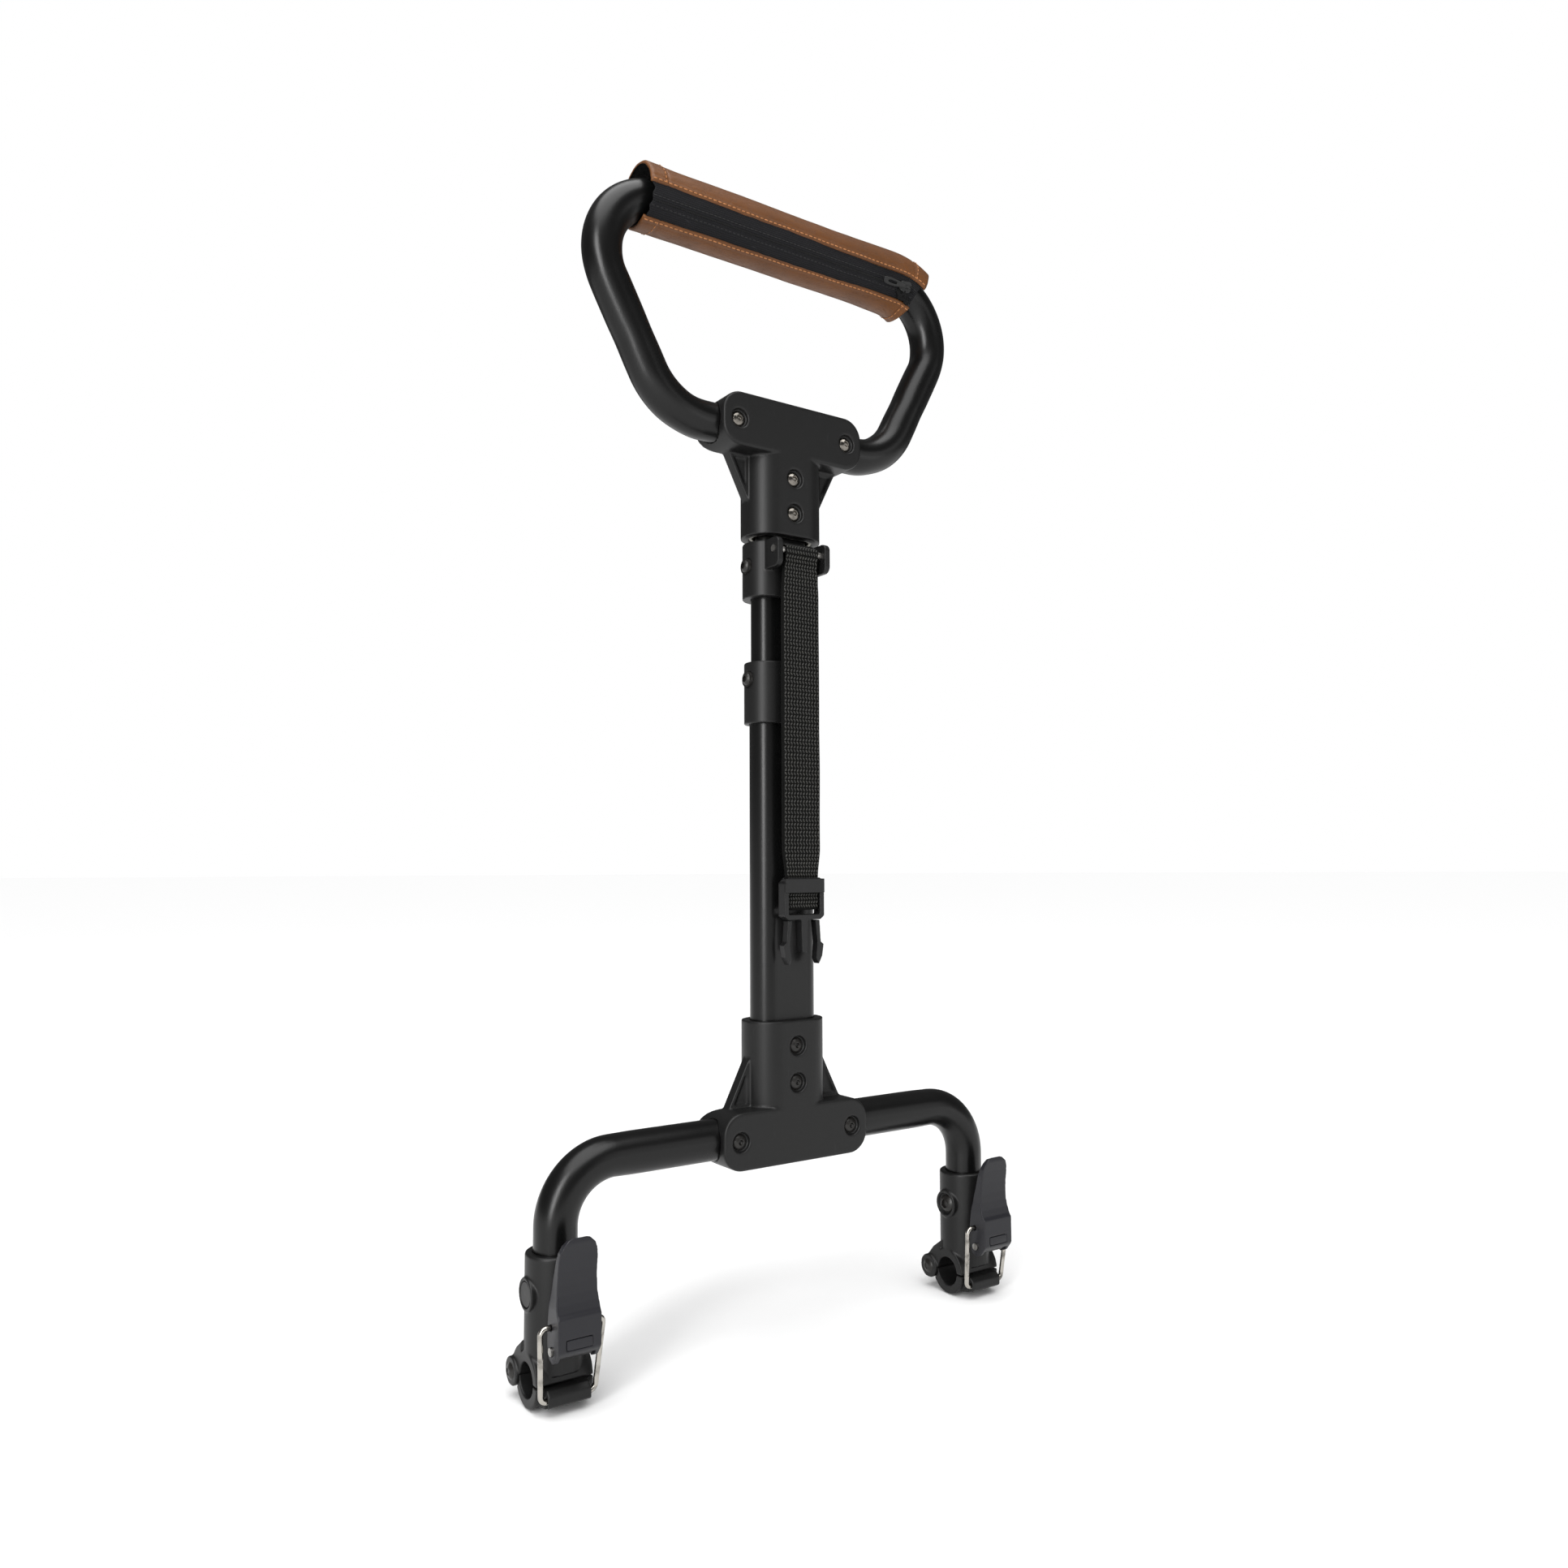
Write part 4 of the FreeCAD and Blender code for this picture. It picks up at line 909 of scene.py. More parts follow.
class HANDLE_OT_stage(bpy.types.Operator):
    """Pale floor, soft studio lights and the camera"""

    bl_idname = "handle.stage"
    bl_label = "Stage"

    def execute(self, context):
        setup = context.scene.handle_stage
        vertices, faces = floor_mesh(CAD_BOX[0][2] - 0.0006)
        floor = piece_from("stage_floor", vertices, faces, floor_finish(setup.floor_colour), True, False)
        context.scene.world = studio_air(setup.air_strength)
        context.scene.view_settings.view_transform = "Standard"
        middle = (0, 0, 0.32)
        soft_light("key_light", (-1.95, -1.25, 0.95), middle, 0.6, 1.8, setup.key_power)
        soft_light("fill_light", (1.2, -1.9, 0.55), middle, 1.6, 1.5, setup.fill_power)
        sky = bpy.data.lights.new("overhead", "SUN")
        sky.angle = math.radians(64)
        sky.energy = setup.overhead_power
        overhead = bpy.data.objects.new("overhead", sky)
        context.scene.collection.objects.link(overhead)
        overhead.rotation_euler = (math.radians(14), math.radians(-10), 0)
        lens = bpy.data.cameras.new("camera")
        lens.sensor_width = 36.0
        lens.lens = setup.lens
        lens.clip_start = 0.01
        camera = bpy.data.objects.new("camera", lens)
        context.scene.collection.objects.link(camera)
        camera.matrix_world = camera_matrix()
        context.scene.camera = camera
        return {"FINISHED"}


# --------------------------------------------------------------------------- tubes
TUBE_RADIUS = 0.0111
TUBE_SIDES = 56
LEG_X = 138.3
BAR_Z = 102
HANDLE_LOW = 503.2
HANDLE_HIGH = 622
HANDLE_LEAN = math.radians(28)
HANDLE_FOOT = 77
TOP_BEND = 35.6


def handle_corners():
    """The corners of the handle loop, anticlockwise from the middle of its foot."""
    shoulder = HANDLE_FOOT + (HANDLE_HIGH - HANDLE_LOW) * math.tan(HANDLE_LEAN)
    return [
        (0, 0, HANDLE_LOW),
        (HANDLE_FOOT, 0, HANDLE_LOW),
        (shoulder, 0, HANDLE_HIGH),
        (-shoulder, 0, HANDLE_HIGH),
        (-HANDLE_FOOT, 0, HANDLE_LOW),
        (0, 0, HANDLE_LOW),
    ]


def bend_marks(points, spots, amount):
    """A squash for a round outline: slightly flatter near the spots where a bend begins."""

    def squash(i):
        near = min((points[i] - Vector(spot) * MM).length for spot in spots)
        dip = amount * math.exp(-((near / 0.007) ** 2))
        return 1 + dip * 0.4, 1 - dip

    return squash


def tube_shell(name, points, radius, wall, skin, squash=None):
    """A hollow round tube along a flat path, with its ends closed by rings."""
    side = Vector((0, 1, 0))
    outer, outer_faces = swept(points, round_outline(radius, TUBE_SIDES, squash), side, False)
    inner, inner_faces = swept(points, round_outline(radius - wall, TUBE_SIDES), side, False)
    shift = len(outer)
    faces = outer_faces + [tuple(reversed([v + shift for v in face])) for face in inner_faces]
    last = (len(points) - 1) * TUBE_SIDES
    for k in range(TUBE_SIDES):
        n = (k + 1) % TUBE_SIDES
        faces.append((k, k + shift, n + shift, n))
        faces.append((last + k, last + n, last + n + shift, last + k + shift))
    return piece_from(name, outer + inner, faces, skin)


class HANDLE_OT_tubes(bpy.types.Operator):
    """Round tubes of the lower frame and the handle loop, and the post's coated finish"""

    bl_idname = "handle.tubes"
    bl_label = "Tubes and post"

    def execute(self, context):
        coat = finish(powder_coat)
        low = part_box("lower_frame_tube")[0][2] / MM
        corners = [(-LEG_X, 0, low), (-LEG_X, 0, BAR_Z), (LEG_X, 0, BAR_Z), (LEG_X, 0, low)]
        points = even_path(arc_path(corners, (31, 31)), 0.004)
        spots = [(side * (LEG_X - 31), 0, BAR_Z) for _, side in SIDES]
        frame_tube = tube_shell(
            "frame_tube", points, TUBE_RADIUS, 0.0015, coat, bend_marks(points, spots, 0.025)
        )
        finished(frame_tube, "frame", "powder", "lower_frame_tube")

        points = even_path(arc_path(handle_corners(), (40, TOP_BEND, TOP_BEND, 40)), 0.004)
        spots = [(side * x, 0, z) for _, side in SIDES for x, z in ((115, 575), (97, 541), (66, 505))]
        outline = round_outline(TUBE_RADIUS, TUBE_SIDES, bend_marks(points, spots, 0.035))
        vertices, faces = swept(points[:-1], outline, Vector((0, 1, 0)), False)
        last = (len(points) - 2) * TUBE_SIDES
        for k in range(TUBE_SIDES):
            n = (k + 1) % TUBE_SIDES
            faces.append((last + k, last + n, n, k))
        loop = piece_from("handle_loop", vertices, faces, coat)
        finished(loop, "handle", "powder", "handle_loop_tube")

        for node in ("outer_post_tube", "middle_post_tube", "inner_post_tube"):
            dress(node, coat)
        dress("head_sleeve_tube", finish(cut_metal))
        dress("inner_foot_bush", finish(lug_plastic))
        dress("head_bush", finish(lug_plastic))
        return {"FINISHED"}


def dress(node, skin):
    """Gives a frame node its finish."""
    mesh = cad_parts[node].data
    if mesh.materials:
        for i in range(len(mesh.materials)):
            mesh.materials[i] = skin
    else:
        mesh.materials.append(skin)


# --------------------------------------------------------------------------- moulded pieces
class HANDLE_OT_brackets(bpy.types.Operator):
    """The two moulded T brackets"""

    bl_idname = "handle.brackets"
    bl_label = "T brackets"

    def execute(self, context):
        for which, body in (("lower", "frame"), ("upper", "handle")):
            node = f"{which}_bracket"
            piece = softened(f"{which}_t_bracket", node, finish(moulded_plastic), 0.6, 5)
            finished(piece, body, "moulded", node)
        return {"FINISHED"}


class HANDLE_OT_collars(bpy.types.Operator):
    """The two collars on the post and the strap's bar"""

    bl_idname = "handle.collars"
    bl_label = "Collars"

    def execute(self, context):
        for which, body in (("lower", "frame"), ("upper", "middle_stage")):
            node = f"{which}_collar"
            piece = softened(f"{which}_post_collar", node, finish(moulded_plastic), 0.45, 4)
            finished(piece, body, "moulded", node)
            dress(f"{which}_collar_screw", finish(black_oxide))
        dress("strap_bar", finish(turned_pin))
        return {"FINISHED"}


class HANDLE_OT_clamps(bpy.types.Operator):
    """Clamp bodies, jaws, pins and cross bolts"""

    bl_idname = "handle.clamps"
    bl_label = "Clamps"

    def execute(self, context):
        skin = finish(moulded_plastic)
        for name, _ in SIDES:
            body = softened(f"{name}_clamp_housing", f"{name}_clamp_body", skin, 0.5, 6)
            finished(body, "frame", "moulded", f"{name}_clamp_body")
            jaw = softened(f"{name}_jaw", f"{name}_clamp_jaw", skin, 0.45, 7)
            finished(jaw, f"{name}_jaw", "moulded", f"{name}_clamp_jaw")
            dress(f"{name}_jaw_pin", finish(black_oxide))
            dress(f"{name}_lever_pin", finish(turned_pin))
            dress(f"{name}_cross_bolt", finish(black_oxide))
            dress(f"{name}_bolt_cover", skin)
        return {"FINISHED"}


class HANDLE_OT_levers(bpy.types.Operator):
    """The two over-centre levers with their front tabs"""

    bl_idname = "handle.levers"
    bl_label = "Clamp levers"

    def execute(self, context):
        for name, side in SIDES:
            node = f"{name}_clamp_lever"
            piece = softened(f"{name}_lever", node, finish(lever_plastic), 0.36, 6)
            finished(piece, f"{name}_lever", "lever", node)
            middle = Vector((side * LEG_X, -29.25, 23.6))
            tab = extruded_outline(
                f"{name}_lever_tab",
                rounded_loop(6.75, -2.3, 2.3, 48, 9),
                0.75,
                middle,
                Vector((1, 0, 0)),
                Vector((0, 0, 1)),
                finish(lever_plastic),
            )
            finished(tab, f"{name}_lever", "lever")
        return {"FINISHED"}


class HANDLE_OT_bails(bpy.types.Operator):
    """The two bent wire bails"""

    bl_idname = "handle.bails"
    bl_label = "Wire bails"

    def execute(self, context):
        radius = context.scene.handle_sizes.wire_radius
        for name, side in SIDES:
            x = side * LEG_X
            half = [(-9.3, -20.8, 30.5), (-16.6, -20.8, 30.5), (-14.2, -16.5, -5.5)]
            corners = half + [(-a, b, c) for a, b, c in reversed(half)]
            corners = [(x + a, b, c) for a, b, c in corners]
            points = even_path(arc_path(corners, (3, 3.4, 3.4, 3), 0.14), 0.003)
            vertices, faces = swept(points, round_outline(radius, 20), Vector((0, 1, 0.12)))
            piece = piece_from(f"{name}_bail_wire", vertices, faces, finish(wire_steel))
            finished(piece, f"{name}_bail", "steel", f"{name}_clamp_bail")
        return {"FINISHED"}


# --------------------------------------------------------------------------- fasteners
def button_head(name, radius, tall, key, shank):
    """A template screw: round shank, button head, hexagon socket."""
    count = 36
    ball = (radius**2 + tall**2) / (2 * tall)
    start = math.asin(radius / ball)
    rings = [(1.9, -shank, 0), (2.1, -shank + 0.3, 0), (2.1, 0, 0), (radius - 0.15, 0, 0), (radius, 0.2, 0)]
    for i in range(1, 8):
        angle = start * (1 - i / 8)
        if ball * math.sin(angle) > key * 1.25:
            rings.append((ball * math.sin(angle), tall - ball * (1 - math.cos(angle)), 0))
    rings += [(key * 1.12, tall - 0.06, 1), (key, tall - 0.25, 1)]
    rings += [(key * 0.97, tall * 0.3, 1), (0.2, tall * 0.2, 1)]
    vertices = []
    faces = []
    for reach, height, hexed in rings:
        for k in range(count):
            angle = math.tau * k / count
            six = (angle % (math.pi / 3)) - math.pi / 6
            r = reach * math.cos(math.pi / 6) / math.cos(six) if hexed else reach
            vertices.append(Vector((math.cos(angle) * r, math.sin(angle) * r, height)) * MM)
    for i in range(len(rings) - 1):
        for k in range(count):
            n = (k + 1) % count
            faces.append((i * count + k, i * count + n, (i + 1) * count + n, (i + 1) * count + k))
    faces.append(tuple(reversed(range(count))))
    faces.append(tuple((len(rings) - 1) * count + k for k in range(count)))
    mesh = bpy.data.meshes.new(name)
    mesh.from_pydata([tuple(v) for v in vertices], [], faces)
    work = bmesh.new()
    work.from_mesh(mesh)
    bmesh.ops.recalc_face_normals(work, faces=work.faces)
    work.to_mesh(mesh)
    work.free()
    return new_piece(name, mesh)


class HANDLE_OT_screws(bpy.types.Operator):
    """Button-head screws in the T brackets, and their nuts"""

    bl_idname = "handle.screws"
    bl_label = "Bracket screws"

    def execute(self, context):
        front = Vector((0, -1, 0))
        for which, body, maker, slot in (
            ("lower", "frame", black_oxide, "blackscrew"),
            ("upper", "handle", nickel, "nickel"),
        ):
            skin = finish(maker)
            for part in ("bar_bolts", "post_screws"):
                node = f"{which}_bracket_{part}"
                low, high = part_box(node)
                seat = low[1] + 0.0026
                shank = (high[1] - seat) / MM
                middle = (low + high) / 2
                spread = (high - low) / 2 - Vector((1, 0, 1)) * 0.0049
                reach = Vector((spread[0], 0, 0)) if part == "bar_bolts" else Vector((0, 0, spread[2]))
                places = [
                    (Vector((middle[0], seat, middle[2])) + reach * sign, front) for sign in (-1, 1)
                ]
                template = button_head("screw_template", 4.9, 2.6, 1.6, shank)
                piece = copied(f"{which}_{part}_heads", template, places, skin)
                finished(piece, body, slot, node)
            dress(f"{which}_bracket_bar_nuts", finish(turned_pin))
        return {"FINISHED"}


# --------------------------------------------------------------------------- grip cover
COVER_LEFT = -95.5
COVER_LENGTH = 197.0
BEND_START = 82.0
STRIP_LOW = (241.0, 234.0)
STRIP_HIGH = (180.0, 187.5)


def grip_axis(along):
    """A point of the cover's axis and its upward normal, in millimetres, from the left end."""
    x = COVER_LEFT + along
    if x <= BEND_START:
        return Vector((x, 0, HANDLE_HIGH)), Vector((0, 0, 1))
    angle = (x - BEND_START) / TOP_BEND
    centre = Vector((BEND_START, 0, HANDLE_HIGH - TOP_BEND))
    up = Vector((math.sin(angle), 0, math.cos(angle)))
    return centre + up * TOP_BEND, up


def grip_point(along, degrees, radius):
    """A point round the cover's axis; the angle runs from +Y towards the axis's upward normal."""
    axis, up = grip_axis(along)
    angle = math.radians(degrees)
    return (axis + Vector((0, 1, 0)) * (math.cos(angle) * radius) + up * (math.sin(angle) * radius)) * MM


def ramp(value, low, high):
    """Rises smoothly from 0 to 1 as the value goes from low to high."""
    share = max(0.0, min(1.0, (value - low) / (high - low)))
    return share * share * (3 - 2 * share)


def strip_edges(along):
    """The angles of the leather's two edges beside the zip strip."""
    share = along / COVER_LENGTH
    wobble = noise.noise(Vector((along * 0.035, 3.1, 0))) * 1.6
    drift = noise.noise(Vector((along * 0.04, 9.7, 0))) * 1.3
    low = STRIP_LOW[0] + (STRIP_LOW[1] - STRIP_LOW[0]) * share + wobble
    high = STRIP_HIGH[0] + (STRIP_HIGH[1] - STRIP_HIGH[0]) * share + drift
    return low, high + 360


def leather_radius(along, degrees, low, high):
    """The leather's outer radius: soft dents, thicker hems, sunk seams, a sagging right end."""
    radius = 18.0
    radius += 0.45 * noise.noise(Vector((along * 0.018, degrees * 0.011, 1.7)))
    radius += 0.12 * noise.noise(Vector((along * 0.09, degrees * 0.045, 5.2)))
    arc = min(degrees - low, high - degrees) * math.radians(1) * 18
    radius += 0.3 * (1 - ramp(arc, 2.6, 3.6))
    radius -= 0.22 * math.exp(-(((arc - 3.3) / 0.45) ** 2))
    end = min(along, COVER_LENGTH - along)
    radius += 0.22 * (1 - ramp(end, 9.2, 10.4))
    radius -= 0.35 * math.exp(-(((end - 10.2) / 0.6) ** 2))
    radius -= 0.9 * (1 - ramp(min(arc, end), 0.0, 0.7)) ** 2
    sag = math.exp(-(((degrees - 268) / 34) ** 2))
    radius += 1.7 * sag * ramp(along, COVER_LENGTH - 42, COVER_LENGTH - 10)
    radius += 0.7 * ramp(along, COVER_LENGTH - 70, COVER_LENGTH - 20)
    radius += 0.5 * (1 - ramp(along, 0, 26)) * math.exp(-(((degrees - 450) / 60) ** 2))
    return radius


def cover_mesh(thickness, skins):
    """The leather sleeve as a closed sheet, its inner face lined."""
    rows, columns = 190, 104
    vertices = []
    for inward in (0.0, thickness / MM):
        for i in range(rows + 1):
            along = COVER_LENGTH * i / rows
            low, high = strip_edges(along)
            for k in range(columns + 1):
                share = k / columns
                degrees = low + (high - low) * share
                edge = 0.7 * noise.noise(Vector((degrees * 0.03, i / rows * 2, 2.0)))
                place = max(0.0, along + (edge if i in (0, rows) else 0))
                radius = leather_radius(along, degrees, low, high) - inward
                vertices.append(grip_point(place, degrees, radius))
    wide = columns + 1
    shift = (rows + 1) * wide
    faces = []
    lined = []
    for i in range(rows):
        for k in range(columns):
            a = i * wide + k
            faces.append((a, a + 1, a + wide + 1, a + wide))
            lined.append(0)
            faces.append((a + shift, a + shift + wide, a + shift + wide + 1, a + shift + 1))
            lined.append(1)
    for i in range(rows):
        for k, flip in ((0, False), (columns, True)):
            a = i * wide + k
            face = (a, a + wide, a + wide + shift, a + shift)
            faces.append(tuple(reversed(face)) if flip else face)
            lined.append(0)
    for k in range(columns):
        for i, flip in ((0, True), (rows, False)):
            a = i * wide + k
            face = (a, a + 1, a + 1 + shift, a + shift)
            faces.append(tuple(reversed(face)) if not flip else face)
            lined.append(0)
    piece = piece_from("grip_leather", vertices, faces, skins[0])
    piece.data.materials.append(skins[1])
    if len(piece.data.polygons) == len(lined):
        piece.data.polygons.foreach_set("material_index", lined)
    return piece


def seam_line(offset, which, step=1.5):
    """Points just over the leather at a distance from one edge of the strip."""
    line = []
    for i in range(int((COVER_LENGTH - 4) / step) + 1):
        along = 2 + i * step
        low, high = strip_edges(along)
        turn = math.degrees(offset / 18)
        degrees = low + turn if which == "low" else high - turn
        line.append(grip_point(along, degrees, leather_radius(along, degrees, low, high) + 0.12))
    return line


def hem_line(along):
    """Points just over the leather round the sleeve at a distance from its left end."""
    low, high = strip_edges(along)
    return [
        grip_point(along, degrees, leather_radius(along, degrees, low, high) + 0.1)
        for degrees in [low + 6 + (high - low - 12) * i / 90 for i in range(91)]
    ]


def foam_profile():
    """The foam sleeve: a closed ring of points, radius and place along, with rounded ends."""
    outer = [(15.4, -79), (15.9, -77.5), (16.0, -40), (16.0, 0), (16.0, 40), (15.9, 77.5), (15.4, 79)]
    return [(12.6, -79.6), *outer, (12.6, 79.6), (11.25, 79), (11.25, 0), (11.25, -79)]


class HANDLE_OT_grip(bpy.types.Operator):
    """The foam sleeve and the stitched leatherette cover"""

    bl_idname = "handle.grip"
    bl_label = "Grip cover"

    def execute(self, context):
        sizes = context.scene.handle_sizes
        profile = foam_profile()
        count = 48
        vertices = []
        for radius, x in profile:
            for k in range(count):
                angle = math.tau * k / count
                vertices.append(
                    Vector((x, math.cos(angle) * radius, HANDLE_HIGH + math.sin(angle) * radius)) * MM
                )
        faces = []
        for i in range(len(profile)):
            for k in range(count):
                n = (k + 1) % count
                j = (i + 1) % len(profile)
                faces.append((i * count + k, i * count + n, j * count + n, j * count + k))
        foam = piece_from("grip_foam_sleeve", vertices, faces, finish(foam_rubber))
        finished(foam, "handle", "foam", "grip_foam")

        cover = cover_mesh(sizes.leather_thickness, (finish(leatherette), finish(lining_cloth)))
        seams = stitched(
            "cover_seams",
            [seam_line(1.5, "low"), seam_line(1.5, "high")],
            sizes.stitch_pitch,
            0.0025,
            0.00078,
            0.16,
            finish(seam_thread),
        )
        hems = stitched(
            "cover_hems",
            [hem_line(9.0), hem_line(COVER_LENGTH - 9.0)],
            sizes.stitch_pitch,
            0.0022,
            0.0005,
            0.12,
            finish(seam_thread),
        )
        for piece in (cover, seams, hems):
            finished(piece, "handle", "leather")
        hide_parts("grip_cover")
        return {"FINISHED"}


# --------------------------------------------------------------------------- zip
def tape_radius(along, degrees):
    """The zip strip's radius: two tapes, a sunk middle where they meet, and ripples."""
    low, high = strip_edges(along)
    middle = (low + high - 360) / 2
    arc = (degrees - middle) * math.radians(1) * 18
    radius = 17.2 + 0.65 * math.cos(min(1.3, abs(arc) / 7.5))
    radius -= 0.45 * math.exp(-((arc / 0.55) ** 2))
    radius += 0.22 * noise.noise(Vector((along * 0.16, degrees * 0.05, 0.3)))
    radius += 0.1 * noise.noise(Vector((along * 0.5, degrees * 0.16, 4.3)))
    return radius


def tape_mesh():
    """The zip's two tapes as one thin closed strip with a ragged left end."""
    rows, columns = 210, 34
    length = COVER_LENGTH - 5
    vertices = []
    coordinates = []
    for inward in (0.0, 0.55):
        for i in range(rows + 1):
            for k in range(columns + 1):
                share = k / columns
                ragged = 1.5 * noise.noise(Vector((share * 7, 0.5, 8.8))) * (1 - ramp(i, 0, 6))
                along = 1.6 + length * i / rows + ragged
                low, high = strip_edges(along)
                start, stop = high - 360 - 6, low + 6
                degrees = start + (stop - start) * share
                vertices.append(grip_point(along, degrees, tape_radius(along, degrees) - inward))
                coordinates.append((along * MM, math.radians(degrees) * 18 * MM))
    wide = columns + 1
    shift = (rows + 1) * wide
    faces = []
    for i in range(rows):
        for k in range(columns):
            a = i * wide + k
            faces.append((a, a + wide, a + wide + 1, a + 1))
            faces.append((a + shift, a + shift + 1, a + shift + wide + 1, a + shift + wide))
    rim = [k for k in range(wide)] + [i * wide + columns for i in range(1, rows + 1)]
    rim += [rows * wide + k for k in range(columns - 1, -1, -1)] + [i * wide for i in range(rows - 1, 0, -1)]
    for a, b in zip(rim, rim[1:] + rim[:1]):
        faces.append((a, b, b + shift, a + shift))
    mesh = bpy.data.meshes.new("zip_cloth")
    mesh.from_pydata([tuple(v) for v in vertices], [], faces)
    weave = mesh.uv_layers.new(name="weave")
    for loop in mesh.loops:
        weave.data[loop.index].uv = coordinates[loop.vertex_index]
    work = bmesh.new()
    work.from_mesh(mesh)
    bmesh.ops.recalc_face_normals(work, faces=work.faces)
    work.to_mesh(mesh)
    work.free()
    smooth_faces(mesh)
    mesh.materials.append(finish(tape_cloth))
    return new_piece("zip_cloth", mesh)


def strip_line(shift, raised, start, stop, step=1.5):
    """Points along the zip strip at a distance across from its middle."""
    line = []
    for i in range(int((stop - start) / step) + 1):
        along = start + i * step
        low, high = strip_edges(along)
        degrees = (low + high - 360) / 2 + math.degrees(shift / 18)
        line.append(grip_point(along, degrees, tape_radius(along, degrees) + raised))
    return line


def extruded_outline(name, outline, thickness, place, across, up, skin, hole=None):
    """A flat plate from a rounded outline in millimetres, standing on a place."""
    out = across.cross(up).normalized()
    mesh = bpy.data.meshes.new(name)
    work = bmesh.new()
    rings = []
    for high in (0.0, thickness):
        ring = [
            work.verts.new((place + (across * a + up * b + out * high)) * MM) for a, b in outline
        ]
        rings.append(ring)
    count = len(outline)
    if hole:
        inner = []
        for high in (0.0, thickness):
            inner.append(
                [work.verts.new((place + (across * a + up * b + out * high)) * MM) for a, b in hole]
            )
        for k in range(count):
            n = (k + 1) % count
            work.faces.new((rings[0][k], rings[0][n], inner[0][n], inner[0][k]))
            work.faces.new((rings[1][k], inner[1][k], inner[1][n], rings[1][n]))
            work.faces.new((inner[0][k], inner[0][n], inner[1][n], inner[1][k]))
    else:
        work.faces.new(rings[0])
        work.faces.new(rings[1])
    for k in range(count):
        n = (k + 1) % count
        work.faces.new((rings[0][k], rings[1][k], rings[1][n], rings[0][n]))
    bmesh.ops.recalc_face_normals(work, faces=work.faces)
    work.to_mesh(mesh)
    work.free()
    mesh.materials.append(skin)
    piece = new_piece(name, mesh)
    bevel = piece.modifiers.new("bevel", "BEVEL")
    bevel.width = 0.3 * MM
    bevel.segments = 3
    bevel.limit_method = "ANGLE"
    settle(piece)
    smooth_faces(piece.data)
    return piece


def rounded_loop(half_width, low, high, count=32, power=3.2):
    """A rounded outline between two heights, as pairs across and up."""
    middle = (low + high) / 2
    tall = (high - low) / 2
    outline = []
    for k in range(count):
        angle = math.tau * k / count
        c, s = math.cos(angle), math.sin(angle)
        a = math.copysign(abs(c) ** (2 / power), c) * half_width
        b = math.copysign(abs(s) ** (2 / power), s) * tall + middle
        outline.append((a, b))
    return outline


ZIP_ANGLE = math.radians(208)
ZIP_OUT = Vector((0, math.cos(ZIP_ANGLE), math.sin(ZIP_ANGLE)))
ZIP_ACROSS = Vector((0, -math.sin(ZIP_ANGLE), math.cos(ZIP_ANGLE)))


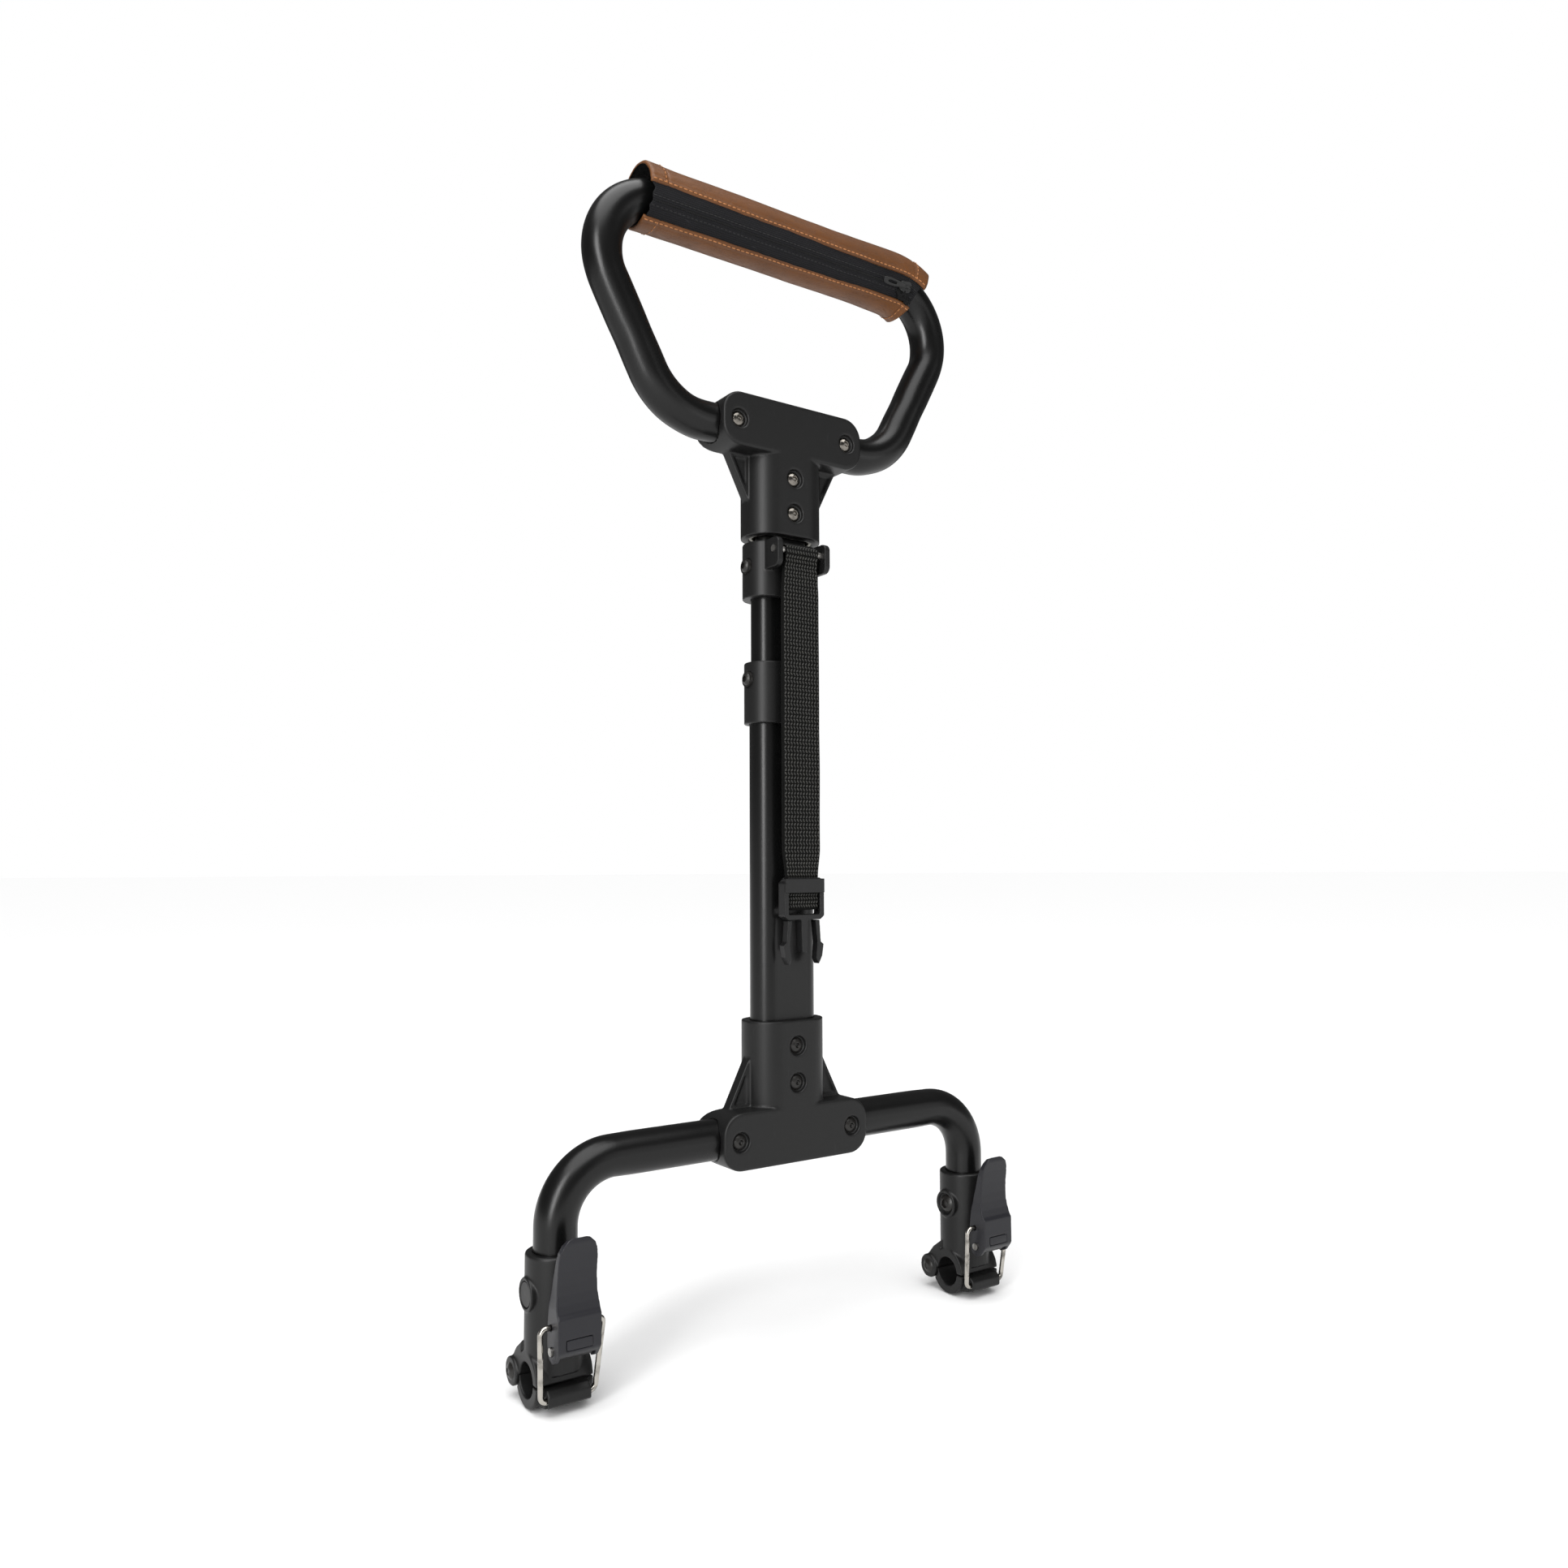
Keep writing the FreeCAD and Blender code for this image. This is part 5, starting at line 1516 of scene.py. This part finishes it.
class HANDLE_OT_zip(bpy.types.Operator):
    """The zip strip, its coil, slider and pull"""

    bl_idname = "handle.zip"
    bl_label = "Zip"

    def execute(self, context):
        tape = tape_mesh()
        coil = stitched(
            "zip_coil",
            [strip_line(0, -0.15, 4, COVER_LENGTH - 8)],
            0.00105,
            0.0007,
            0.0019,
            0.05,
            finish(coil_nylon),
        )
        rows = stitched(
            "zip_tape_seams",
            [strip_line(-2.6, 0.04, 3, COVER_LENGTH - 6), strip_line(2.6, 0.04, 3, COVER_LENGTH - 6)],
            0.0027,
            0.0021,
            0.00042,
            0.12,
            finish(dark_thread),
        )
        for piece in (tape, coil, rows):
            finished(piece, "handle", "tape")
        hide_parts("zip_tape")
        self.make_bunch()
        self.make_slider()
        return {"FINISHED"}

    def make_bunch(self):
        """The folded ends of the tapes at the right, below the cover's edge."""
        vertices = []
        faces = []
        count = 26
        steps = 60
        for i in range(steps + 1):
            share = i / steps
            along = COVER_LENGTH - 22 + 19 * share
            low, high = strip_edges(along)
            degrees = low - 14 + 10 * share + 9 * noise.noise(Vector((share * 5, 0, 1.3)))
            core = grip_point(along, degrees, 18.1)
            _, up = grip_axis(along)
            angle = math.radians(degrees)
            out = Vector((0, math.cos(angle), 0)) + up * math.sin(angle)
            side = Vector((1, 0, 0)).cross(out).normalized()
            swell = math.sin(math.pi * min(0.98, max(0.03, share))) ** 0.45
            for k in range(count):
                turn = math.tau * k / count
                crumple = noise.noise(Vector((math.cos(turn) * 1.6, math.sin(turn) * 1.6, share * 6)))
                reach = (2.5 + 1.5 * crumple) * swell
                vertices.append(
                    core + (side * math.cos(turn) * reach * 1.35 + out * math.sin(turn) * reach * 0.8) * MM
                )
        for i in range(steps):
            for k in range(count):
                n = (k + 1) % count
                faces.append((i * count + k, i * count + n, (i + 1) * count + n, (i + 1) * count + k))
        faces.append(tuple(reversed(range(count))))
        faces.append(tuple(steps * count + k for k in range(count)))
        piece = piece_from("zip_tape_ends", vertices, faces, finish(lining_cloth))
        finished(piece, "handle", "tape")

    def make_slider(self):
        skin = finish(slider_lacquer)
        low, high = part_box("zip_slider")
        x = (low[0] + high[0]) / 2 / MM
        base = Vector((x, 0, HANDLE_HIGH)) + ZIP_OUT * 19.9
        wing = [(a * (1 + 0.16 * (b > 0)), b) for a, b in rounded_loop(3.1, -4.6, 4.6)]
        plate = extruded_outline(
            "zip_slider_plate", wing, 0.9, base, ZIP_ACROSS * -1, Vector((1, 0, 0)), skin
        )
        finished(plate, "zip_slider", "slider", "zip_slider")
        arch = [
            base + Vector((1, 0, 0)) * (3.2 * math.cos(t)) + ZIP_OUT * (0.7 + 1.7 * math.sin(t))
            for t in [math.pi * i / 16 for i in range(17)]
        ]
        arch = [point * MM for point in arch]
        outline = [(a * MM, b * MM) for a, b in rounded_loop(0.9, -0.4, 0.4, 16, 4)]
        vertices, faces = swept(arch, lambda i: outline, ZIP_ACROSS)
        bridge = piece_from("zip_slider_bridge", vertices, faces, skin)
        finished(bridge, "zip_slider", "slider")
        low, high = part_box("zip_pull")
        root = Vector((high[0] / MM - 0.6, 0, HANDLE_HIGH)) + ZIP_OUT * 22.3
        body = [
            (a * (0.62 + 0.38 * ramp(-b, 2, 15)), b) for a, b in rounded_loop(2.3, -19.4, 0, 40, 3.6)
        ]
        eye = [(a * 0.5, b * 0.9 - 0.6) for a, b in rounded_loop(1.5, -17.2, -9.5, 40, 2.6)]
        pull = extruded_outline(
            "zip_pull_tab", body, 1.0, root, ZIP_ACROSS * -1, Vector((1, 0, 0)), skin, eye
        )
        finished(pull, "zip_pull", "slider", "zip_pull")


# --------------------------------------------------------------------------- strap
STRAP_Y = -19.6
STRAP_TOP = 430.5
STRAP_LOW = 226.4
STRAP_HALF = 12.3


def strap_path():
    """The strap's middle line, in millimetres, from the buckle up behind, over the bar and down."""
    points = []
    for i in range(41):
        z = STRAP_LOW + (STRAP_TOP - 8 - STRAP_LOW) * i / 40
        bow = 0.25 * math.sin(math.pi * i / 40)
        points.append(Vector((0, STRAP_Y + 0.75 + bow, z)))
    turn = 2.75
    for i in range(25):
        angle = -0.5 + (math.pi + 1.0) * i / 24
        points.append(Vector((0, STRAP_Y + math.cos(angle) * turn, STRAP_TOP + math.sin(angle) * turn)))
    for i in range(46):
        z = STRAP_TOP - 8 - (STRAP_TOP - 8 - STRAP_LOW) * i / 45
        bow = 0.35 * math.sin(math.pi * i / 45) + 0.18 * math.sin(i * 0.5)
        points.append(Vector((0, STRAP_Y - 0.75 - bow * 0.6, z)))
    return points


def strap_width(point):
    """Half the strap's width at a height: drawn in a little at the bar and at the buckle."""
    z = point[2]
    drawn = 0.1 * ramp(z, STRAP_TOP - 26, STRAP_TOP - 3) + 0.14 * (1 - ramp(z, 244, 262))
    return STRAP_HALF * (1 - drawn)


def ribbon(points, columns, offset, width):
    """A grid along the path, set off to one side by the offset: its vertices in metres."""
    vertices = []
    frames = path_frames(points, Vector((1, 0, 0)))
    for point, (_, across, up) in zip(points, frames):
        half = width(point)
        for k in range(columns + 1):
            share = 2 * k / columns - 1
            wave = 0.16 * noise.noise(Vector((share * 1.3, point[2] * 0.045, 0.4)))
            vertices.append((point + across * (share * half) + up * (offset + wave)) * MM)
    return vertices


class HANDLE_OT_strap(bpy.types.Operator):
    """The webbing strap looped over its bar"""

    bl_idname = "handle.strap"
    bl_label = "Strap"

    def execute(self, context):
        sizes = context.scene.handle_sizes
        thick = sizes.webbing_thickness / MM
        points = even_path(strap_path(), 1.2)
        columns = 12
        upper = ribbon(points, columns, thick * 0.36, strap_width)
        under = ribbon(points, columns, -thick * 0.36, strap_width)
        wide = columns + 1
        shift = len(upper)
        faces = []
        for i in range(len(points) - 1):
            for k in range(columns):
                a = i * wide + k
                faces.append((a, a + 1, a + wide + 1, a + wide))
                faces.append((a + shift, a + shift + wide, a + shift + wide + 1, a + shift + 1))
            for k in (0, columns):
                a = i * wide + k
                faces.append((a, a + wide, a + wide + shift, a + shift))
        for i in (0, len(points) - 1):
            for k in range(columns):
                a = i * wide + k
                faces.append((a, a + shift, a + shift + 1, a + 1))
        # the base ribbon's darker finish is painted shade between the yarns
        base = piece_from("strap_webbing", upper + under, faces, finish(webbing_ground))
        columns = sizes.webbing_columns
        rows = even_path(points, sizes.webbing_pitch / MM)
        steps = [rows[0]]
        gone = 0.0
        for a, b in zip(rows, rows[1:]):
            gone += (b - a).length
            if gone >= sizes.webbing_pitch / MM * 0.98:
                steps.append(b)
                gone = 0.0
        grid = ribbon(steps, columns, thick * 0.4, strap_width)
        wide = columns + 1
        faces = [
            (i * wide + k, i * wide + k + 1, (i + 1) * wide + k + 1, (i + 1) * wide + k)
            for i in range(len(steps) - 1)
            for k in range(columns)
        ]
        yarns = piece_from("strap_yarns", grid, faces, finish(webbing_yarn), True, False)
        shared_tree(yarn_tree).grow(
            yarns,
            columns=columns,
            slant=math.radians(60),
            length=0.0026,
            width=0.00122,
            material=finish(webbing_yarn),
        )
        for piece in (base, yarns):
            finished(piece, "strap", "webbing")
        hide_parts("strap")
        return {"FINISHED"}


class HANDLE_OT_buckle(bpy.types.Operator):
    """The male half of the side-release buckle"""

    bl_idname = "handle.buckle"
    bl_label = "Buckle"

    def execute(self, context):
        skin = finish(buckle_plastic)
        body = softened("buckle_frame", "buckle_body", skin, 0.3, 8)
        finished(body, "strap", "buckle", "buckle_body")
        for name, _ in SIDES:
            node = f"buckle_arm_{name}"
            arm = softened(f"buckle_{name}_prong", node, skin, 0.25, 7)
            finished(arm, node, "buckle", node)
        return {"FINISHED"}


# --------------------------------------------------------------------------- panel and main
class HANDLE_PT_build(bpy.types.Panel):
    """Lists the operators in the sidebar"""

    bl_idname = "HANDLE_PT_build"
    bl_label = "Telescopic handle"
    bl_space_type = "VIEW_3D"
    bl_region_type = "UI"
    bl_category = "Handle"

    def draw(self, context):
        layout = self.layout
        for group in (context.scene.handle_sizes, context.scene.handle_stage):
            column = layout.column(align=True)
            for name in group.bl_rna.properties.keys():
                if name not in ("rna_type", "name"):
                    column.prop(group, name)
        column = layout.column(align=True)
        for step in STEPS:
            column.operator(step.bl_idname)


STEPS = (
    HANDLE_OT_stage,
    HANDLE_OT_tubes,
    HANDLE_OT_brackets,
    HANDLE_OT_collars,
    HANDLE_OT_clamps,
    HANDLE_OT_levers,
    HANDLE_OT_bails,
    HANDLE_OT_screws,
    HANDLE_OT_grip,
    HANDLE_OT_zip,
    HANDLE_OT_strap,
    HANDLE_OT_buckle,
)
CLASSES = (HandleSettings, StageSettings, *STEPS, HANDLE_PT_build)


def register():
    for item in CLASSES:
        bpy.utils.register_class(item)
    bpy.types.Scene.handle_sizes = bpy.props.PointerProperty(type=HandleSettings)
    bpy.types.Scene.handle_stage = bpy.props.PointerProperty(type=StageSettings)


def unregister():
    del bpy.types.Scene.handle_stage
    del bpy.types.Scene.handle_sizes
    for item in reversed(CLASSES):
        bpy.utils.unregister_class(item)


def main():
    """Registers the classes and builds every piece."""
    register()
    for step in STEPS:
        group, name = step.bl_idname.split(".")
        getattr(getattr(bpy.ops, group), name)()


if __name__ == "__main__":
    main()
